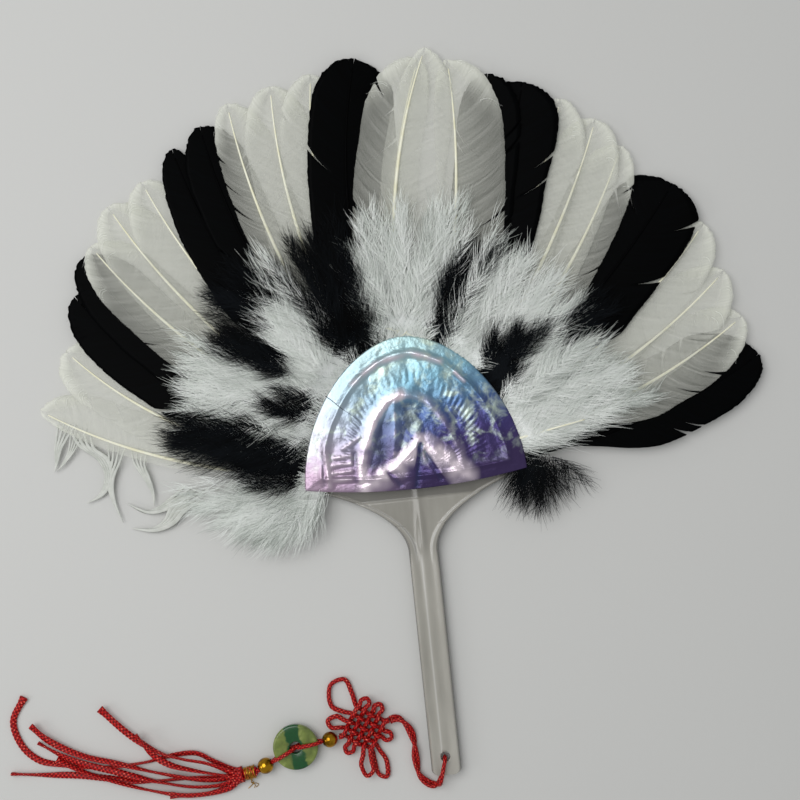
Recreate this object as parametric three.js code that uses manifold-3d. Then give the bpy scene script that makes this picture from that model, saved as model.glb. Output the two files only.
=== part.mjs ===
import * as THREE from 'three';
import { mergeVertices } from 'three/addons/utils/BufferGeometryUtils.js';
import Module from 'manifold-3d';

const wasm = await Module();
wasm.setup();

// Feather fan lying face up. Millimetres, +Z up, +Y from the handle to the top of the fan.
// The origin is the middle of the head's lower edge, on the plane that the back rests on.

// Head outline
const HEAD_HALF_WIDTH = 49.5;
const HEAD_HEIGHT = 64;
const HEAD_POWER = 1.8;
const HEAD_BOW = 4.3;
const FIT_GAP = 0.3;

// Heights of the layers in the head
const BACK_COVER_THICK = 0.8;
const PLATE_BACK = 2.5;
const PLATE_FRONT = 4.1;
const QUILL_RADIUS = 1.2;
const QUILL_Z = PLATE_FRONT + FIT_GAP + QUILL_RADIUS;
const DOWN_ROOT_Z = QUILL_Z + QUILL_RADIUS + FIT_GAP;
const DOWN_ROOT_THICK = 0.8;
const COVER_BACK = DOWN_ROOT_Z + DOWN_ROOT_THICK + FIT_GAP;
const COVER_RIM = 0.8;

// Handle
const BAR_HALF_WIDTH = 6.65;
const BAR_END = -132.8;
const BAR_TOP = -26;
const BAR_FRONT = 6.1;
const BAR_CORNER = 2.4;
const HOLE_Y = -124.5;
const HOLE_RADIUS = 2.2;
const PANEL_FRONT = 4.3;
const RIB_WIDTH = 3.2;

// Flight feathers
const VANE_START = 74;
const VANE_FULL = 112;
const VANE_HALF_THICK = 0.14;
const ROLL = 0.13;
const DROOP = 3;
const QUILL_TUCK = 15;
const CENTRE_LIFT = 1.2;

// Pendant cord
const CORD_RADIUS = 0.95;
const PAIR_RADIUS = 1.8;
const BUNDLE_RADIUS = 1.3;
const STRAND_RADIUS = 0.85;
const LATTICE_PITCH = 3.5;
const LATTICE_RISE = 1.5;
const KNOT_Z = 2.6;
const BEAD_RADIUS = 3.5;
const BEAD_BORE = 1.7;
const DISC_RADIUS = 10.15;
const DISC_BORE = 2.6;
const DISC_THICK = 3.2;
const DISC_Z = 3.75;

const V2 = (x, y) => new THREE.Vector2(x, y);
const V3 = (x, y, z) => new THREE.Vector3(x, y, z);
const radians = THREE.MathUtils.degToRad;
const smooth = THREE.MathUtils.smoothstep;
const lerp = THREE.MathUtils.lerp;

const FINISH = {
  frosted_plastic: { color: 0xb9b7ad, roughness: 0.3 },
  foil: { color: 0x8fa6cc, roughness: 0.25, metalness: 0.5 },
  card: { color: 0x8f97b8, roughness: 0.6 },
  glue: { color: 0xd8cfae, roughness: 0.6 },
  white_feather: { color: 0xe9eae4, roughness: 0.8 },
  black_feather: { color: 0x101216, roughness: 0.6 },
  white_down: { color: 0xeef0ef, roughness: 1 },
  black_down: { color: 0x0c0d10, roughness: 1 },
  red_cord: { color: 0xb8151f, roughness: 0.6 },
  gold: { color: 0xc49a2c, roughness: 0.25, metalness: 1 },
  jade: { color: 0x8a9a5c, roughness: 0.3 },
  gold_thread: { color: 0xb98b2a, roughness: 0.5 },
};

const group = new THREE.Group();
group.name = 'feather_fan';

const materials = {};
for (const [slot, finish] of Object.entries(FINISH)) {
  materials[slot] = new THREE.MeshStandardMaterial({ name: slot, ...finish });
}

// Welds a geometry and turns its faces outward.
function closed(geometry) {
  const bare = geometry.clone();
  bare.deleteAttribute('uv');
  bare.deleteAttribute('normal');
  const welded = mergeVertices(bare, 1e-4);
  const index = welded.index.array;
  const p = (k) => new THREE.Vector3().fromBufferAttribute(welded.attributes.position, index[k]);
  let volume = 0;
  for (let k = 0; k < index.length; k += 3) {
    volume += p(k).dot(p(k + 1).cross(p(k + 2)));
  }
  if (volume < 0) {
    for (let k = 0; k < index.length; k += 3) {
      const kept = index[k + 1];
      index[k + 1] = index[k + 2];
      index[k + 2] = kept;
    }
  }
  return welded;
}

function toSolid(geometry) {
  const welded = closed(geometry);
  const mesh = new wasm.Mesh({
    numProp: 3,
    vertProperties: new Float32Array(welded.attributes.position.array),
    triVerts: new Uint32Array(welded.index.array),
  });
  return new wasm.Manifold(mesh);
}

function fromSolid(solid) {
  const mesh = solid.getMesh();
  const geometry = new THREE.BufferGeometry();
  geometry.setAttribute('position', new THREE.BufferAttribute(new Float32Array(mesh.vertProperties), 3));
  geometry.setIndex(new THREE.BufferAttribute(new Uint32Array(mesh.triVerts), 1));
  return geometry;
}

const joined = (...geometries) => geometries.map(toSolid).reduce((a, b) => a.add(b));

function place(name, slot, geometry) {
  const shown = closed(geometry);
  shown.computeVertexNormals();
  const mesh = new THREE.Mesh(shown, materials[slot]);
  mesh.name = name;
  group.add(mesh);
}

// A closed skin through rings of equal count, each end closed by a fan to one point.
function loft(rings, first, last) {
  const count = rings[0].length;
  const middle = (ring) => ring.reduce((s, q) => s.add(q), V3(0, 0, 0)).divideScalar(count);
  const points = [...rings.flat(), first ?? middle(rings[0]), last ?? middle(rings.at(-1))];
  const start = points.length - 2;
  const end = points.length - 1;
  const faces = [];
  for (let j = 0; j + 1 < rings.length; j += 1) {
    for (let i = 0; i < count; i += 1) {
      const next = (i + 1) % count;
      const a = j * count + i;
      const b = j * count + next;
      faces.push(a, b, b + count, a, b + count, a + count);
    }
  }
  const top = (rings.length - 1) * count;
  for (let i = 0; i < count; i += 1) {
    const next = (i + 1) % count;
    faces.push(start, next, i, end, top + i, top + next);
  }
  const geometry = new THREE.BufferGeometry().setFromPoints(points);
  geometry.setIndex(faces);
  return geometry;
}

function slab(outline, back, front, bevel = 0) {
  const geometry = new THREE.ExtrudeGeometry(new THREE.Shape(outline), {
    depth: front - back - 2 * bevel,
    bevelEnabled: bevel > 0,
    bevelThickness: bevel,
    bevelSize: bevel,
    bevelOffset: -bevel,
    bevelSegments: 1,
  });
  return geometry.translate(0, 0, back + bevel);
}

const cordCurve = (points) => new THREE.CatmullRomCurve3(points, false, 'centripetal');

// The least gap of a cord to itself, between points that are a lap or more apart along it
function leastGap(points, radius) {
  const count = 400;
  const curve = cordCurve(points);
  const spots = curve.getSpacedPoints(count);
  const lap = Math.ceil((8 * radius * count) / curve.getLength());
  let least = Infinity;
  for (let i = 0; i <= count; i += 1) {
    for (let j = i + lap; j <= count; j += 1) {
      least = Math.min(least, spots[i].distanceTo(spots[j]));
    }
  }
  return least - 2 * radius;
}

function tube(points, radius, sides, steps) {
  const corners = Array.from({ length: sides }, (_, i) => {
    const turn = (2 * Math.PI * i) / sides;
    return V2(radius * Math.cos(turn), radius * Math.sin(turn));
  });
  return new THREE.ExtrudeGeometry(new THREE.Shape(corners), {
    steps,
    bevelEnabled: false,
    extrudePath: cordCurve(points),
  });
}

// Distance from the origin to the head's arched edge.
function headRadius(angle) {
  const across = (Math.abs(Math.cos(angle)) / HEAD_HALF_WIDTH) ** HEAD_POWER;
  const along = (Math.abs(Math.sin(angle)) / HEAD_HEIGHT) ** HEAD_POWER;
  return (across + along) ** (-1 / HEAD_POWER);
}

const bowAt = (x, half) => 1 - (x / half) ** 2;

function headOutline(inset, arc, foot) {
  const half = HEAD_HALF_WIDTH - inset;
  const points = [];
  for (let i = 0; i <= arc; i += 1) {
    const angle = (Math.PI * i) / arc;
    const reach = headRadius(angle) - inset;
    points.push(V2(reach * Math.cos(angle), reach * Math.sin(angle)));
  }
  for (let i = 1; i < foot; i += 1) {
    const x = -half + (2 * half * i) / foot;
    points.push(V2(x, -(HEAD_BOW - inset) * bowAt(x, half)));
  }
  return points;
}

// Back cover: a flat card over the back of the head
place('back_cover', 'card', slab(headOutline(0.5, 30, 8), 0, BACK_COVER_THICK));

// Handle: head plate, back rim, sill, neck panel, ribs, crease and fluted bar in one moulding
const flare = new THREE.CubicBezierCurve(
  V2(HEAD_HALF_WIDTH - 0.5, -0.4),
  V2(HEAD_HALF_WIDTH - 21.5, -7),
  V2(BAR_HALF_WIDTH, -18),
  V2(BAR_HALF_WIDTH, -33),
);

function neckOutline() {
  const right = flare.getPoints(14);
  const left = right.map((q) => V2(-q.x, q.y)).reverse();
  return [...right, ...left];
}

function rib(side) {
  const rings = [];
  for (let i = 0; i <= 14; i += 1) {
    const at = flare.getPoint(i / 14);
    const along = flare.getTangent(i / 14);
    const inward = V2(along.y, -along.x);
    const section = [
      [0, PLATE_BACK],
      [0, BAR_FRONT - 0.9],
      [0.8, BAR_FRONT - 0.2],
      [RIB_WIDTH - 1.2, BAR_FRONT - 0.4],
      [RIB_WIDTH, PANEL_FRONT],
      [RIB_WIDTH, PLATE_BACK],
    ];
    rings.push(section.map(([step, z]) => {
      const q = at.clone().addScaledVector(inward, step);
      return V3(side * q.x, q.y, z);
    }));
  }
  return loft(rings);
}

function sill() {
  const rings = [];
  const half = HEAD_HALF_WIDTH - 6.5;
  for (let i = 0; i <= 12; i += 1) {
    const x = -half + (2 * half * i) / 12;
    const y = -HEAD_BOW * bowAt(x, HEAD_HALF_WIDTH) + 0.9;
    const top = COVER_BACK - FIT_GAP;
    rings.push([V3(x, y, PLATE_BACK), V3(x, y, top), V3(x, y + 2, top), V3(x, y + 2, PLATE_BACK)]);
  }
  return loft(rings);
}

function crease() {
  const stations = [[-6, 1.6, PANEL_FRONT + 0.4], [-16, 2.2, PANEL_FRONT + 1], [-30, 3, BAR_FRONT - 0.3]];
  return loft(stations.map(([y, half, top]) => [
    V3(-half, y, PLATE_BACK),
    V3(-half, y, PANEL_FRONT - 0.2),
    V3(0, y, top),
    V3(half, y, PANEL_FRONT - 0.2),
    V3(half, y, PLATE_BACK),
  ]));
}

function bar() {
  const half = [
    [BAR_HALF_WIDTH - 0.6, PLATE_BACK],
    [BAR_HALF_WIDTH, PLATE_BACK + 0.6],
    [BAR_HALF_WIDTH, BAR_FRONT - 0.9],
    [BAR_HALF_WIDTH - 0.95, BAR_FRONT - 0.15],
    [BAR_HALF_WIDTH - 2.25, BAR_FRONT - 0.3],
    [2.7, BAR_FRONT - 0.7],
    [1.3, BAR_FRONT],
  ];
  const section = [...half, ...half.map(([x, z]) => [-x, z]).reverse()].map(([x, z]) => V2(x, z));
  const length = BAR_TOP - BAR_END;
  const blank = new THREE.ExtrudeGeometry(new THREE.Shape(section), { depth: length, bevelEnabled: false });
  blank.rotateX(Math.PI / 2).translate(0, BAR_TOP, 0);
  const plan = new THREE.Shape();
  plan.moveTo(-BAR_HALF_WIDTH - 1, BAR_TOP + 1);
  plan.lineTo(-BAR_HALF_WIDTH - 1, BAR_END + 20);
  plan.lineTo(-BAR_HALF_WIDTH, BAR_END + 20);
  plan.lineTo(-BAR_HALF_WIDTH, BAR_END + BAR_CORNER);
  plan.absarc(-BAR_HALF_WIDTH + BAR_CORNER, BAR_END + BAR_CORNER, BAR_CORNER, Math.PI, 1.5 * Math.PI);
  plan.absarc(BAR_HALF_WIDTH - BAR_CORNER, BAR_END + BAR_CORNER, BAR_CORNER, 1.5 * Math.PI, 2 * Math.PI);
  plan.lineTo(BAR_HALF_WIDTH, BAR_END + 20);
  plan.lineTo(BAR_HALF_WIDTH + 1, BAR_END + 20);
  plan.lineTo(BAR_HALF_WIDTH + 1, BAR_TOP + 1);
  const trim = new THREE.ExtrudeGeometry(plan, { depth: 10, bevelEnabled: false, curveSegments: 5 });
  const drill = new THREE.CylinderGeometry(HOLE_RADIUS, HOLE_RADIUS, 20, 24);
  drill.rotateX(Math.PI / 2).translate(0, HOLE_Y, 4);
  return toSolid(blank).intersect(toSolid(trim)).subtract(toSolid(drill));
}

function backRim() {
  const outer = slab(headOutline(1.6, 30, 10), BACK_COVER_THICK + FIT_GAP, PLATE_BACK + 0.2);
  const inner = slab(headOutline(3.4, 30, 10), 0, PLATE_BACK);
  return toSolid(outer).subtract(toSolid(inner));
}

const handle = joined(
  slab(headOutline(1.4, 36, 12), PLATE_BACK, PLATE_FRONT),
  slab(neckOutline(), PLATE_BACK, PANEL_FRONT),
  rib(1),
  rib(-1),
  sill(),
  crease(),
).add(bar()).add(backRim());
place('handle', 'frosted_plastic', fromSolid(handle));

// Glue bed: the set glue that the quill ends stop at
function glueOutline() {
  const points = [];
  for (let i = 0; i <= 24; i += 1) {
    const angle = radians(lerp(5, 175, i / 24));
    const reach = headRadius(angle) - QUILL_TUCK - 0.6;
    points.push(V2(reach * Math.cos(angle), reach * Math.sin(angle)));
  }
  return points;
}
place('glue_bed', 'glue', slab(glueOutline(), PLATE_FRONT + FIT_GAP, COVER_BACK - FIT_GAP, 0.4));

// Front cover: a shallow embossed dome with an arched ridge, a ring of ticks and an inner arch
function frontCover() {
  const arc = 46;
  const foot = 12;
  const outline = headOutline(0, arc, foot);
  const focus = V2(0, 18);
  const top = COVER_BACK + COVER_RIM;
  const steps = [
    [1, COVER_BACK, 0],
    [1, top - 0.25, 0],
    [0.985, top, 0],
    [0.92, top + 0.5, 0],
    [0.86, top + 1.1, 0],
    [0.8, top + 0.7, 0],
    [0.72, top + 1, 0.22],
    [0.6, top + 1.1, 0.22],
    [0.52, top + 1.5, 0],
    [0.42, top + 1.2, 0],
    [0.2, top + 1.6, 0],
  ];
  const rings = steps.map(([share, z, tick]) => outline.map((q, i) => {
    const spot = focus.clone().lerp(q, share);
    const wave = i <= arc ? tick * (i % 2 === 0 ? 1 : -1) : 0;
    return V3(spot.x, spot.y, z + wave);
  }));
  return loft(rings, V3(focus.x, focus.y, COVER_BACK), V3(focus.x, focus.y, top + 1.7));
}
place('front_cover', 'foil', frontCover());

// Flight feathers, from the left edge round to the right: colour, the angle at the root and at the
// tip, the tip's distance from the origin and the half widths away from and toward the middle
const FLIGHT = [
  { colour: 'white', root: 173, tip: 163.8, reach: 171, outer: 12, inner: 14 },
  { colour: 'white', root: 166, tip: 154.5, reach: 169, outer: 13, inner: 14 },
  { colour: 'black', root: 158.5, tip: 148.5, reach: 171.5, outer: 13, inner: 14 },
  { colour: 'black', root: 152, tip: 142.5, reach: 176, outer: 13, inner: 14 },
  { colour: 'white', root: 146, tip: 138.5, reach: 179, outer: 13, inner: 14 },
  { colour: 'white', root: 140, tip: 132.6, reach: 184, outer: 13, inner: 14 },
  { colour: 'white', root: 134, tip: 126.8, reach: 181, outer: 13, inner: 12 },
  { colour: 'black', root: 129, tip: 121.5, reach: 183.5, outer: 12, inner: 13 },
  { colour: 'black', root: 124, tip: 116.3, reach: 184, outer: 12, inner: 13 },
  { colour: 'white', root: 118, tip: 111.8, reach: 188, outer: 13, inner: 14 },
  { colour: 'white', root: 112.5, tip: 104.4, reach: 187.5, outer: 12, inner: 14 },
  { colour: 'white', root: 107, tip: 98.6, reach: 187, outer: 12, inner: 11 },
  { colour: 'black', root: 101.5, tip: 93.5, reach: 191, outer: 15, inner: 14 },
  { colour: 'white', root: 95.5, tip: 88.5, reach: 192, outer: 14, inner: 13 },
  { colour: 'white', root: 88, tip: 82, reach: 193, outer: 13, inner: 14 },
  { colour: 'white', root: 75, tip: 77.5, reach: 188, outer: 14, inner: 14 },
  { colour: 'black', root: 66, tip: 69.8, reach: 184, outer: 15, inner: 14 },
  { colour: 'white', root: 59, tip: 63.2, reach: 182, outer: 14, inner: 9 },
  { colour: 'white', root: 52, tip: 57.5, reach: 180, outer: 14, inner: 13 },
  { colour: 'white', root: 45.5, tip: 51.5, reach: 178, outer: 14, inner: 13 },
  { colour: 'black', root: 38, tip: 42, reach: 172, outer: 15, inner: 15 },
  { colour: 'white', root: 28, tip: 35.6, reach: 172, outer: 14, inner: 13 },
  { colour: 'white', root: 20.5, tip: 28, reach: 166, outer: 14, inner: 13 },
  { colour: 'white', root: 13, tip: 20.5, reach: 163, outer: 13, inner: 13 },
  { colour: 'black', root: 5.5, tip: 14, reach: 163, outer: 11, inner: 14 },
];
const CENTRE_FEATHER = 14;
const STATIONS = [0, 0.12, 0.22, 0.3, 0.38, 0.47, 0.58, 0.7, 0.8, 0.88, 0.94, 0.98, 1];

// Height of the feather layer, which falls slowly toward the tips
function layerHeight(reach) {
  const share = Math.max(0, reach - 70) / 125;
  return QUILL_Z - DROOP * share ** 1.4;
}

function flightFeather(spec, number) {
  const side = Math.sign(CENTRE_FEATHER - number);
  const turn = side === 0 ? 1 : side;
  const start = headRadius(radians(spec.root)) - QUILL_TUCK;
  const at = (reach) => {
    const share = (reach - start) / (spec.reach - start);
    const angle = radians(lerp(spec.root, spec.tip, share ** 1.6));
    return V2(reach * Math.cos(angle), reach * Math.sin(angle));
  };
  const rings = STATIONS.map((share) => {
    const reach = lerp(start, spec.reach, share);
    const spot = at(reach);
    const along = at(reach + 0.2).sub(at(reach - 0.2 * Math.min(1, share * 50))).normalize();
    const out = V2(-along.y, along.x).multiplyScalar(turn);
    const vane = smooth(reach, VANE_START - 6, VANE_START + 6);
    const round = Math.sqrt(Math.max(0.002, 1 - smooth(reach, spec.reach - 34, spec.reach) ** 2.2));
    const width = smooth(reach, VANE_START - 14, VANE_FULL) ** 1.3 * round;
    const shaft = lerp(QUILL_RADIUS, 0.3, Math.max(0, (share - 0.15) / 0.85) ** 0.8);
    const ridge = lerp(QUILL_RADIUS, 0.22, Math.max(0, (share - 0.12) / 0.88) ** 0.7);
    const outer = Math.max(shaft, spec.outer * width);
    const inner = Math.max(shaft, spec.inner * width);
    const edge = lerp(0.45, VANE_HALF_THICK, vane);
    const shoulder = lerp(0.8 * QUILL_RADIUS, VANE_HALF_THICK, vane);
    const under = lerp(QUILL_RADIUS, 0.3, vane);
    const base = layerHeight(reach) + (side === 0 ? CENTRE_LIFT * vane : 0);
    const point = (step, z) => {
      const roll = side === 0 ? 0 : ROLL * step * vane;
      return V3(spot.x + out.x * step, spot.y + out.y * step, base + z + roll);
    };
    return [
      point(outer, edge),
      point(0.7 * shaft, shoulder),
      point(0, ridge),
      point(-0.7 * shaft, shoulder),
      point(-inner, edge),
      point(-inner, -edge),
      point(0, -under),
      point(outer, -edge),
    ];
  });
  return loft(rings);
}

const twoDigits = (number) => String(number).padStart(2, '0');

FLIGHT.forEach((spec, i) => {
  place(`flight_${twoDigits(i + 1)}_${spec.colour}`, `${spec.colour}_feather`, flightFeather(spec, i));
});

// Tufts of down, from the lower left round to the lower right: the angles they lie between and how far
// their tips reach from the origin
const DOWN = [
  { colour: 'white', from: 198, to: 176, reach: 98 },
  { colour: 'black', from: 175.5, to: 159.5, reach: 112 },
  { colour: 'white', from: 159, to: 136, reach: 120 },
  { colour: 'black', from: 135.5, to: 128, reach: 122 },
  { colour: 'white', from: 127.5, to: 112, reach: 124 },
  { colour: 'black', from: 111.5, to: 99.5, reach: 126 },
  { colour: 'white', from: 99, to: 73.5, reach: 130, lift: 1.3 },
  { colour: 'black', from: 73, to: 64, reach: 116 },
  { colour: 'white', from: 63.5, to: 43, reach: 130 },
  { colour: 'black', from: 42.5, to: 31.5, reach: 108 },
  { colour: 'white', from: 31, to: 7, reach: 122 },
  { colour: 'black', from: 6.5, to: -13, reach: 86 },
];
const TUFT_COLUMNS = [-1, -0.6, 0, 0.6, 1];
const TUFT_STATIONS = [
  { share: -1, thick: 0, width: 0.8 },
  { share: 0, thick: 0, width: 0.9 },
  { share: 0.1, thick: 0.5, width: 0.97 },
  { share: 0.32, thick: 1, width: 1 },
  { share: 0.6, thick: 0.9, width: 1 },
  { share: 0.8, thick: 0.6, width: 0.9 },
  { share: 0.94, thick: 0.25, width: 0.65 },
  { share: 1, thick: 0.05, width: 0.4 },
];
const TUFT_TUCK = 6;
const TUFT_HEIGHT = 8.5;

function tuft(spec) {
  const middle = (spec.from + spec.to) / 2;
  const half = Math.abs(spec.from - spec.to) / 2;
  const rings = TUFT_STATIONS.map(({ share, thick, width }) => {
    const column = (part, front) => {
      const angle = radians(middle + half * width * part);
      const rim = headRadius(angle);
      const mouth = rim + 0.8;
      const out = share < 0 ? -TUFT_TUCK : share * (spec.reach - mouth);
      const reach = mouth + out - 3 * thick * Math.abs(part) * Math.max(0, share);
      const back = DOWN_ROOT_Z + (spec.lift ?? 0.3) * smooth(share, 0, 0.25);
      const dome = 1 - 0.9 * Math.abs(part) ** 2.2;
      const z = front ? back + DOWN_ROOT_THICK + TUFT_HEIGHT * thick * dome : back;
      return V3(reach * Math.cos(angle), reach * Math.sin(angle), z);
    };
    const over = TUFT_COLUMNS.map((part) => column(part, true));
    const under = [...TUFT_COLUMNS].reverse().map((part) => column(part, false));
    return [...over, ...under];
  });
  return loft(rings);
}

DOWN.forEach((spec, i) => {
  place(`down_${twoDigits(i + 1)}_${spec.colour}`, `${spec.colour}_down`, tuft(spec));
});

// Knot lattice: its centre, the way to its right corner and the two ways that its lines run
const KNOT = V2(-35, -109);
const KNOT_TURN = radians(12.5);
const toRight = V2(Math.cos(KNOT_TURN), Math.sin(KNOT_TURN));
const toTop = V2(-Math.sin(KNOT_TURN), Math.cos(KNOT_TURN));
const wayOne = toTop.clone().sub(toRight).divideScalar(Math.SQRT2);
const wayTwo = toTop.clone().add(toRight).divideScalar(-Math.SQRT2);

const latticePoint = (one, two, z) => {
  const q = KNOT.clone().addScaledVector(wayOne, one).addScaledVector(wayTwo, two);
  return V3(q.x, q.y, KNOT_Z + z);
};

// One strand weaves five lines. Each ear between two lines leans, reaches out and swells as listed.
function knotStrand(first, ears) {
  const span = 2 * LATTICE_PITCH;
  const spot = (along, line, z) => (first ? latticePoint(along, line, z) : latticePoint(line, along, z));
  const sign = first ? 1 : -1;
  const points = [];
  for (let line = 0; line < 5; line += 1) {
    const across = -span + line * LATTICE_PITCH;
    const forward = line % 2 === 0;
    for (let step = 0; step < 5; step += 1) {
      const cross = forward ? step : 4 - step;
      const along = -span + cross * LATTICE_PITCH;
      const atCorner = line % 4 === 0 && cross % 4 === 0;
      const rise = sign * ((line + cross) % 2 === (atCorner ? 1 : 0) ? 1 : -1);
      points.push(spot(along, across, rise * LATTICE_RISE));
    }
    if (line < 4) {
      const { lean, reach, swell, z } = ears[line];
      const edge = forward ? span : -span;
      const away = forward ? 1 : -1;
      const middle = across + LATTICE_PITCH / 2;
      const ear = (out, side) => spot(edge + away * reach * out, middle + lean * out * reach + side * swell, z);
      points.push(ear(0.32, -0.7), ear(0.7, -1), ear(1, 0), ear(0.7, 1), ear(0.32, 0.7));
    }
  }
  const right = KNOT.clone().addScaledVector(toRight, span * Math.SQRT2 + 2);
  const left = KNOT.clone().addScaledVector(toRight, -span * Math.SQRT2 - 1.6);
  points.unshift(V3(right.x, right.y, KNOT_Z - sign * 1.2));
  points.push(V3(left.x, left.y, KNOT_Z - sign * 1.2));
  console.log(`knot strand: least gap to itself ${leastGap(points, CORD_RADIUS).toFixed(2)} mm`);
  return tube(points, CORD_RADIUS, 6, 140);
}

const EARS_ONE = [
  { lean: -0.35, reach: 15, swell: 6.6, z: -1.35 },
  { lean: 0, reach: 6, swell: 2, z: 0 },
  { lean: 0.25, reach: 9, swell: 2.8, z: 0 },
  { lean: 0.8, reach: 12, swell: 3.6, z: -1.35 },
];
const EARS_TWO = [
  { lean: -0.5, reach: 11, swell: 3, z: 1.35 },
  { lean: 0, reach: 6, swell: 2, z: 0 },
  { lean: 0, reach: 6, swell: 2, z: 0 },
  { lean: -0.1, reach: 6, swell: 2, z: 1.35 },
];
place('knot_strand_a', 'red_cord', knotStrand(true, EARS_ONE));
place('knot_strand_b', 'red_cord', knotStrand(false, EARS_TWO));

// Hanging loop: through the hole, over and under the handle's end, then twisted to the knot
const PULL = V2(-0.287, -0.958);
const loopPoint = (out, z, side = 0) => {
  return V3(PULL.x * out - PULL.y * side, HOLE_Y + PULL.y * out + PULL.x * side, z);
};
const loopPath = [
  loopPoint(14.2, 1.9),
  loopPoint(12.9, 5.2),
  loopPoint(10.8, 7.6),
  loopPoint(6, 7.7),
  loopPoint(3.4, 7.8),
  loopPoint(1.5, 7.3),
  loopPoint(0.7, 6),
  loopPoint(0.6, 4.3),
  loopPoint(0.7, 2.7),
  loopPoint(1.5, 1.4),
  loopPoint(3.4, 1.1),
  loopPoint(7, 1.1),
  loopPoint(11, 1.15),
  loopPoint(14.2, 1.6),
];
const knotRight = KNOT.clone().addScaledVector(toRight, 2 * Math.SQRT2 * LATTICE_PITCH + 2.4);
const pairPath = [
  loopPoint(13.4, 1.85),
  V3(-7.6, -137.2, 1.85),
  V3(-12.2, -132.6, 1.85),
  V3(-13.2, -125, 1.85),
  V3(-13.2, -117.5, 1.9),
  V3(-15.2, -110.5, 2),
  V3(knotRight.x + 3.4, knotRight.y + 0.4, 2.3),
  V3(knotRight.x, knotRight.y, KNOT_Z),
];
const hangLoop = joined(tube(loopPath, 0.95, 6, 28), tube(pairPath, PAIR_RADIUS, 8, 22));
place('hang_loop', 'red_cord', fromSolid(hangLoop));

// Disc cord: a bundle through each bead, parted over the disc so that the strands cross in its hole
const DISC = V2(-66.1, -113.7);
const CORD_START = KNOT.clone().addScaledVector(toRight, -2 * Math.SQRT2 * LATTICE_PITCH - 2.3);
const TASSEL_PIVOT = V2(-84.3, -122.6);
const UPPER_BEAD_STEP = 15.6;
const LOWER_BEAD_STEP = 15.9;

const towardStart = CORD_START.clone().sub(DISC).normalize();
const towardTassel = TASSEL_PIVOT.clone().sub(DISC).normalize();
const upperBead = DISC.clone().addScaledVector(towardStart, UPPER_BEAD_STEP);
const lowerBead = DISC.clone().addScaledVector(towardTassel, LOWER_BEAD_STEP);

function crossedStrand(rise) {
  const side = (way, out, z) => V3(DISC.x + way.x * out, DISC.y + way.y * out, DISC_Z + z);
  const high = DISC_THICK / 2 + FIT_GAP + STRAND_RADIUS + 0.1;
  return tube([
    side(towardStart, 13.6, 0.35 * rise),
    side(towardStart, 12.2, 0.6 * rise),
    side(towardStart, 10.9, 1.7 * rise),
    side(towardStart, 9, high * rise),
    side(towardStart, 3.6, high * rise),
    side(towardStart, 1.3, 1.9 * rise),
    V3(DISC.x, DISC.y, DISC_Z),
    side(towardTassel, 1.3, -1.9 * rise),
    side(towardTassel, 3.6, -high * rise),
    side(towardTassel, 9, -high * rise),
    side(towardTassel, 10.9, -1.7 * rise),
    side(towardTassel, 12.2, -0.6 * rise),
    side(towardTassel, 13.6, -0.35 * rise),
  ], STRAND_RADIUS, 6, 24);
}

const level = (q) => V3(q.x, q.y, DISC_Z);
const startBundle = tube([
  level(CORD_START),
  level(DISC.clone().addScaledVector(towardStart, 12.8)),
], BUNDLE_RADIUS, 8, 1);
const endBundle = tube([
  level(DISC.clone().addScaledVector(towardTassel, 12.8)),
  level(TASSEL_PIVOT),
], BUNDLE_RADIUS, 8, 1);
const discCord = joined(startBundle, endBundle, crossedStrand(1), crossedStrand(-1));
place('disc_cord', 'red_cord', fromSolid(discCord));

function bead(radius) {
  const profile = [];
  const open = Math.asin(BEAD_BORE / radius);
  for (let i = 0; i <= 8; i += 1) {
    const turn = lerp(open, Math.PI - open, i / 8);
    profile.push(V2(radius * Math.sin(turn), -radius * Math.cos(turn)));
  }
  profile.push(profile[0].clone());
  return new THREE.LatheGeometry(profile, 18);
}

function beadOn(centre, way, radius) {
  const geometry = bead(radius);
  geometry.rotateZ(Math.atan2(way.y, way.x) - Math.PI / 2);
  return geometry.translate(centre.x, centre.y, DISC_Z);
}
place('upper_bead', 'gold', beadOn(upperBead, towardStart, BEAD_RADIUS));
place('lower_bead', 'gold', beadOn(lowerBead, towardTassel, BEAD_RADIUS + 0.1));

function jadeDisc() {
  const half = DISC_THICK / 2;
  const profile = [
    V2(DISC_BORE, -half + 0.5),
    V2(DISC_BORE + 0.5, -half),
    V2(DISC_RADIUS - 1, -half),
    V2(DISC_RADIUS - 0.3, -half + 0.4),
    V2(DISC_RADIUS, -half + 1.1),
    V2(DISC_RADIUS, half - 1.1),
    V2(DISC_RADIUS - 0.3, half - 0.4),
    V2(DISC_RADIUS - 1, half),
    V2(DISC_BORE + 0.5, half),
    V2(DISC_BORE, half - 0.5),
    V2(DISC_BORE, -half + 0.5),
  ];
  return new THREE.LatheGeometry(profile, 32).rotateX(Math.PI / 2).translate(DISC.x, DISC.y, DISC_Z);
}
place('jade_disc', 'jade', jadeDisc());

// Tassel: a gold thread binding and eight loose strands in three layers
const WRAP_WAY = V2(-0.985, -0.17).normalize();
const WRAP_SIDE = V2(-WRAP_WAY.y, WRAP_WAY.x);
const WRAP_LENGTH = 5.6;
const wrapStart = TASSEL_PIVOT.clone().addScaledVector(WRAP_WAY, 0.8);
const wrapPoint = (along, side, z) => {
  const q = wrapStart.clone().addScaledVector(WRAP_WAY, along).addScaledVector(WRAP_SIDE, side);
  return V3(q.x, q.y, z);
};

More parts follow.
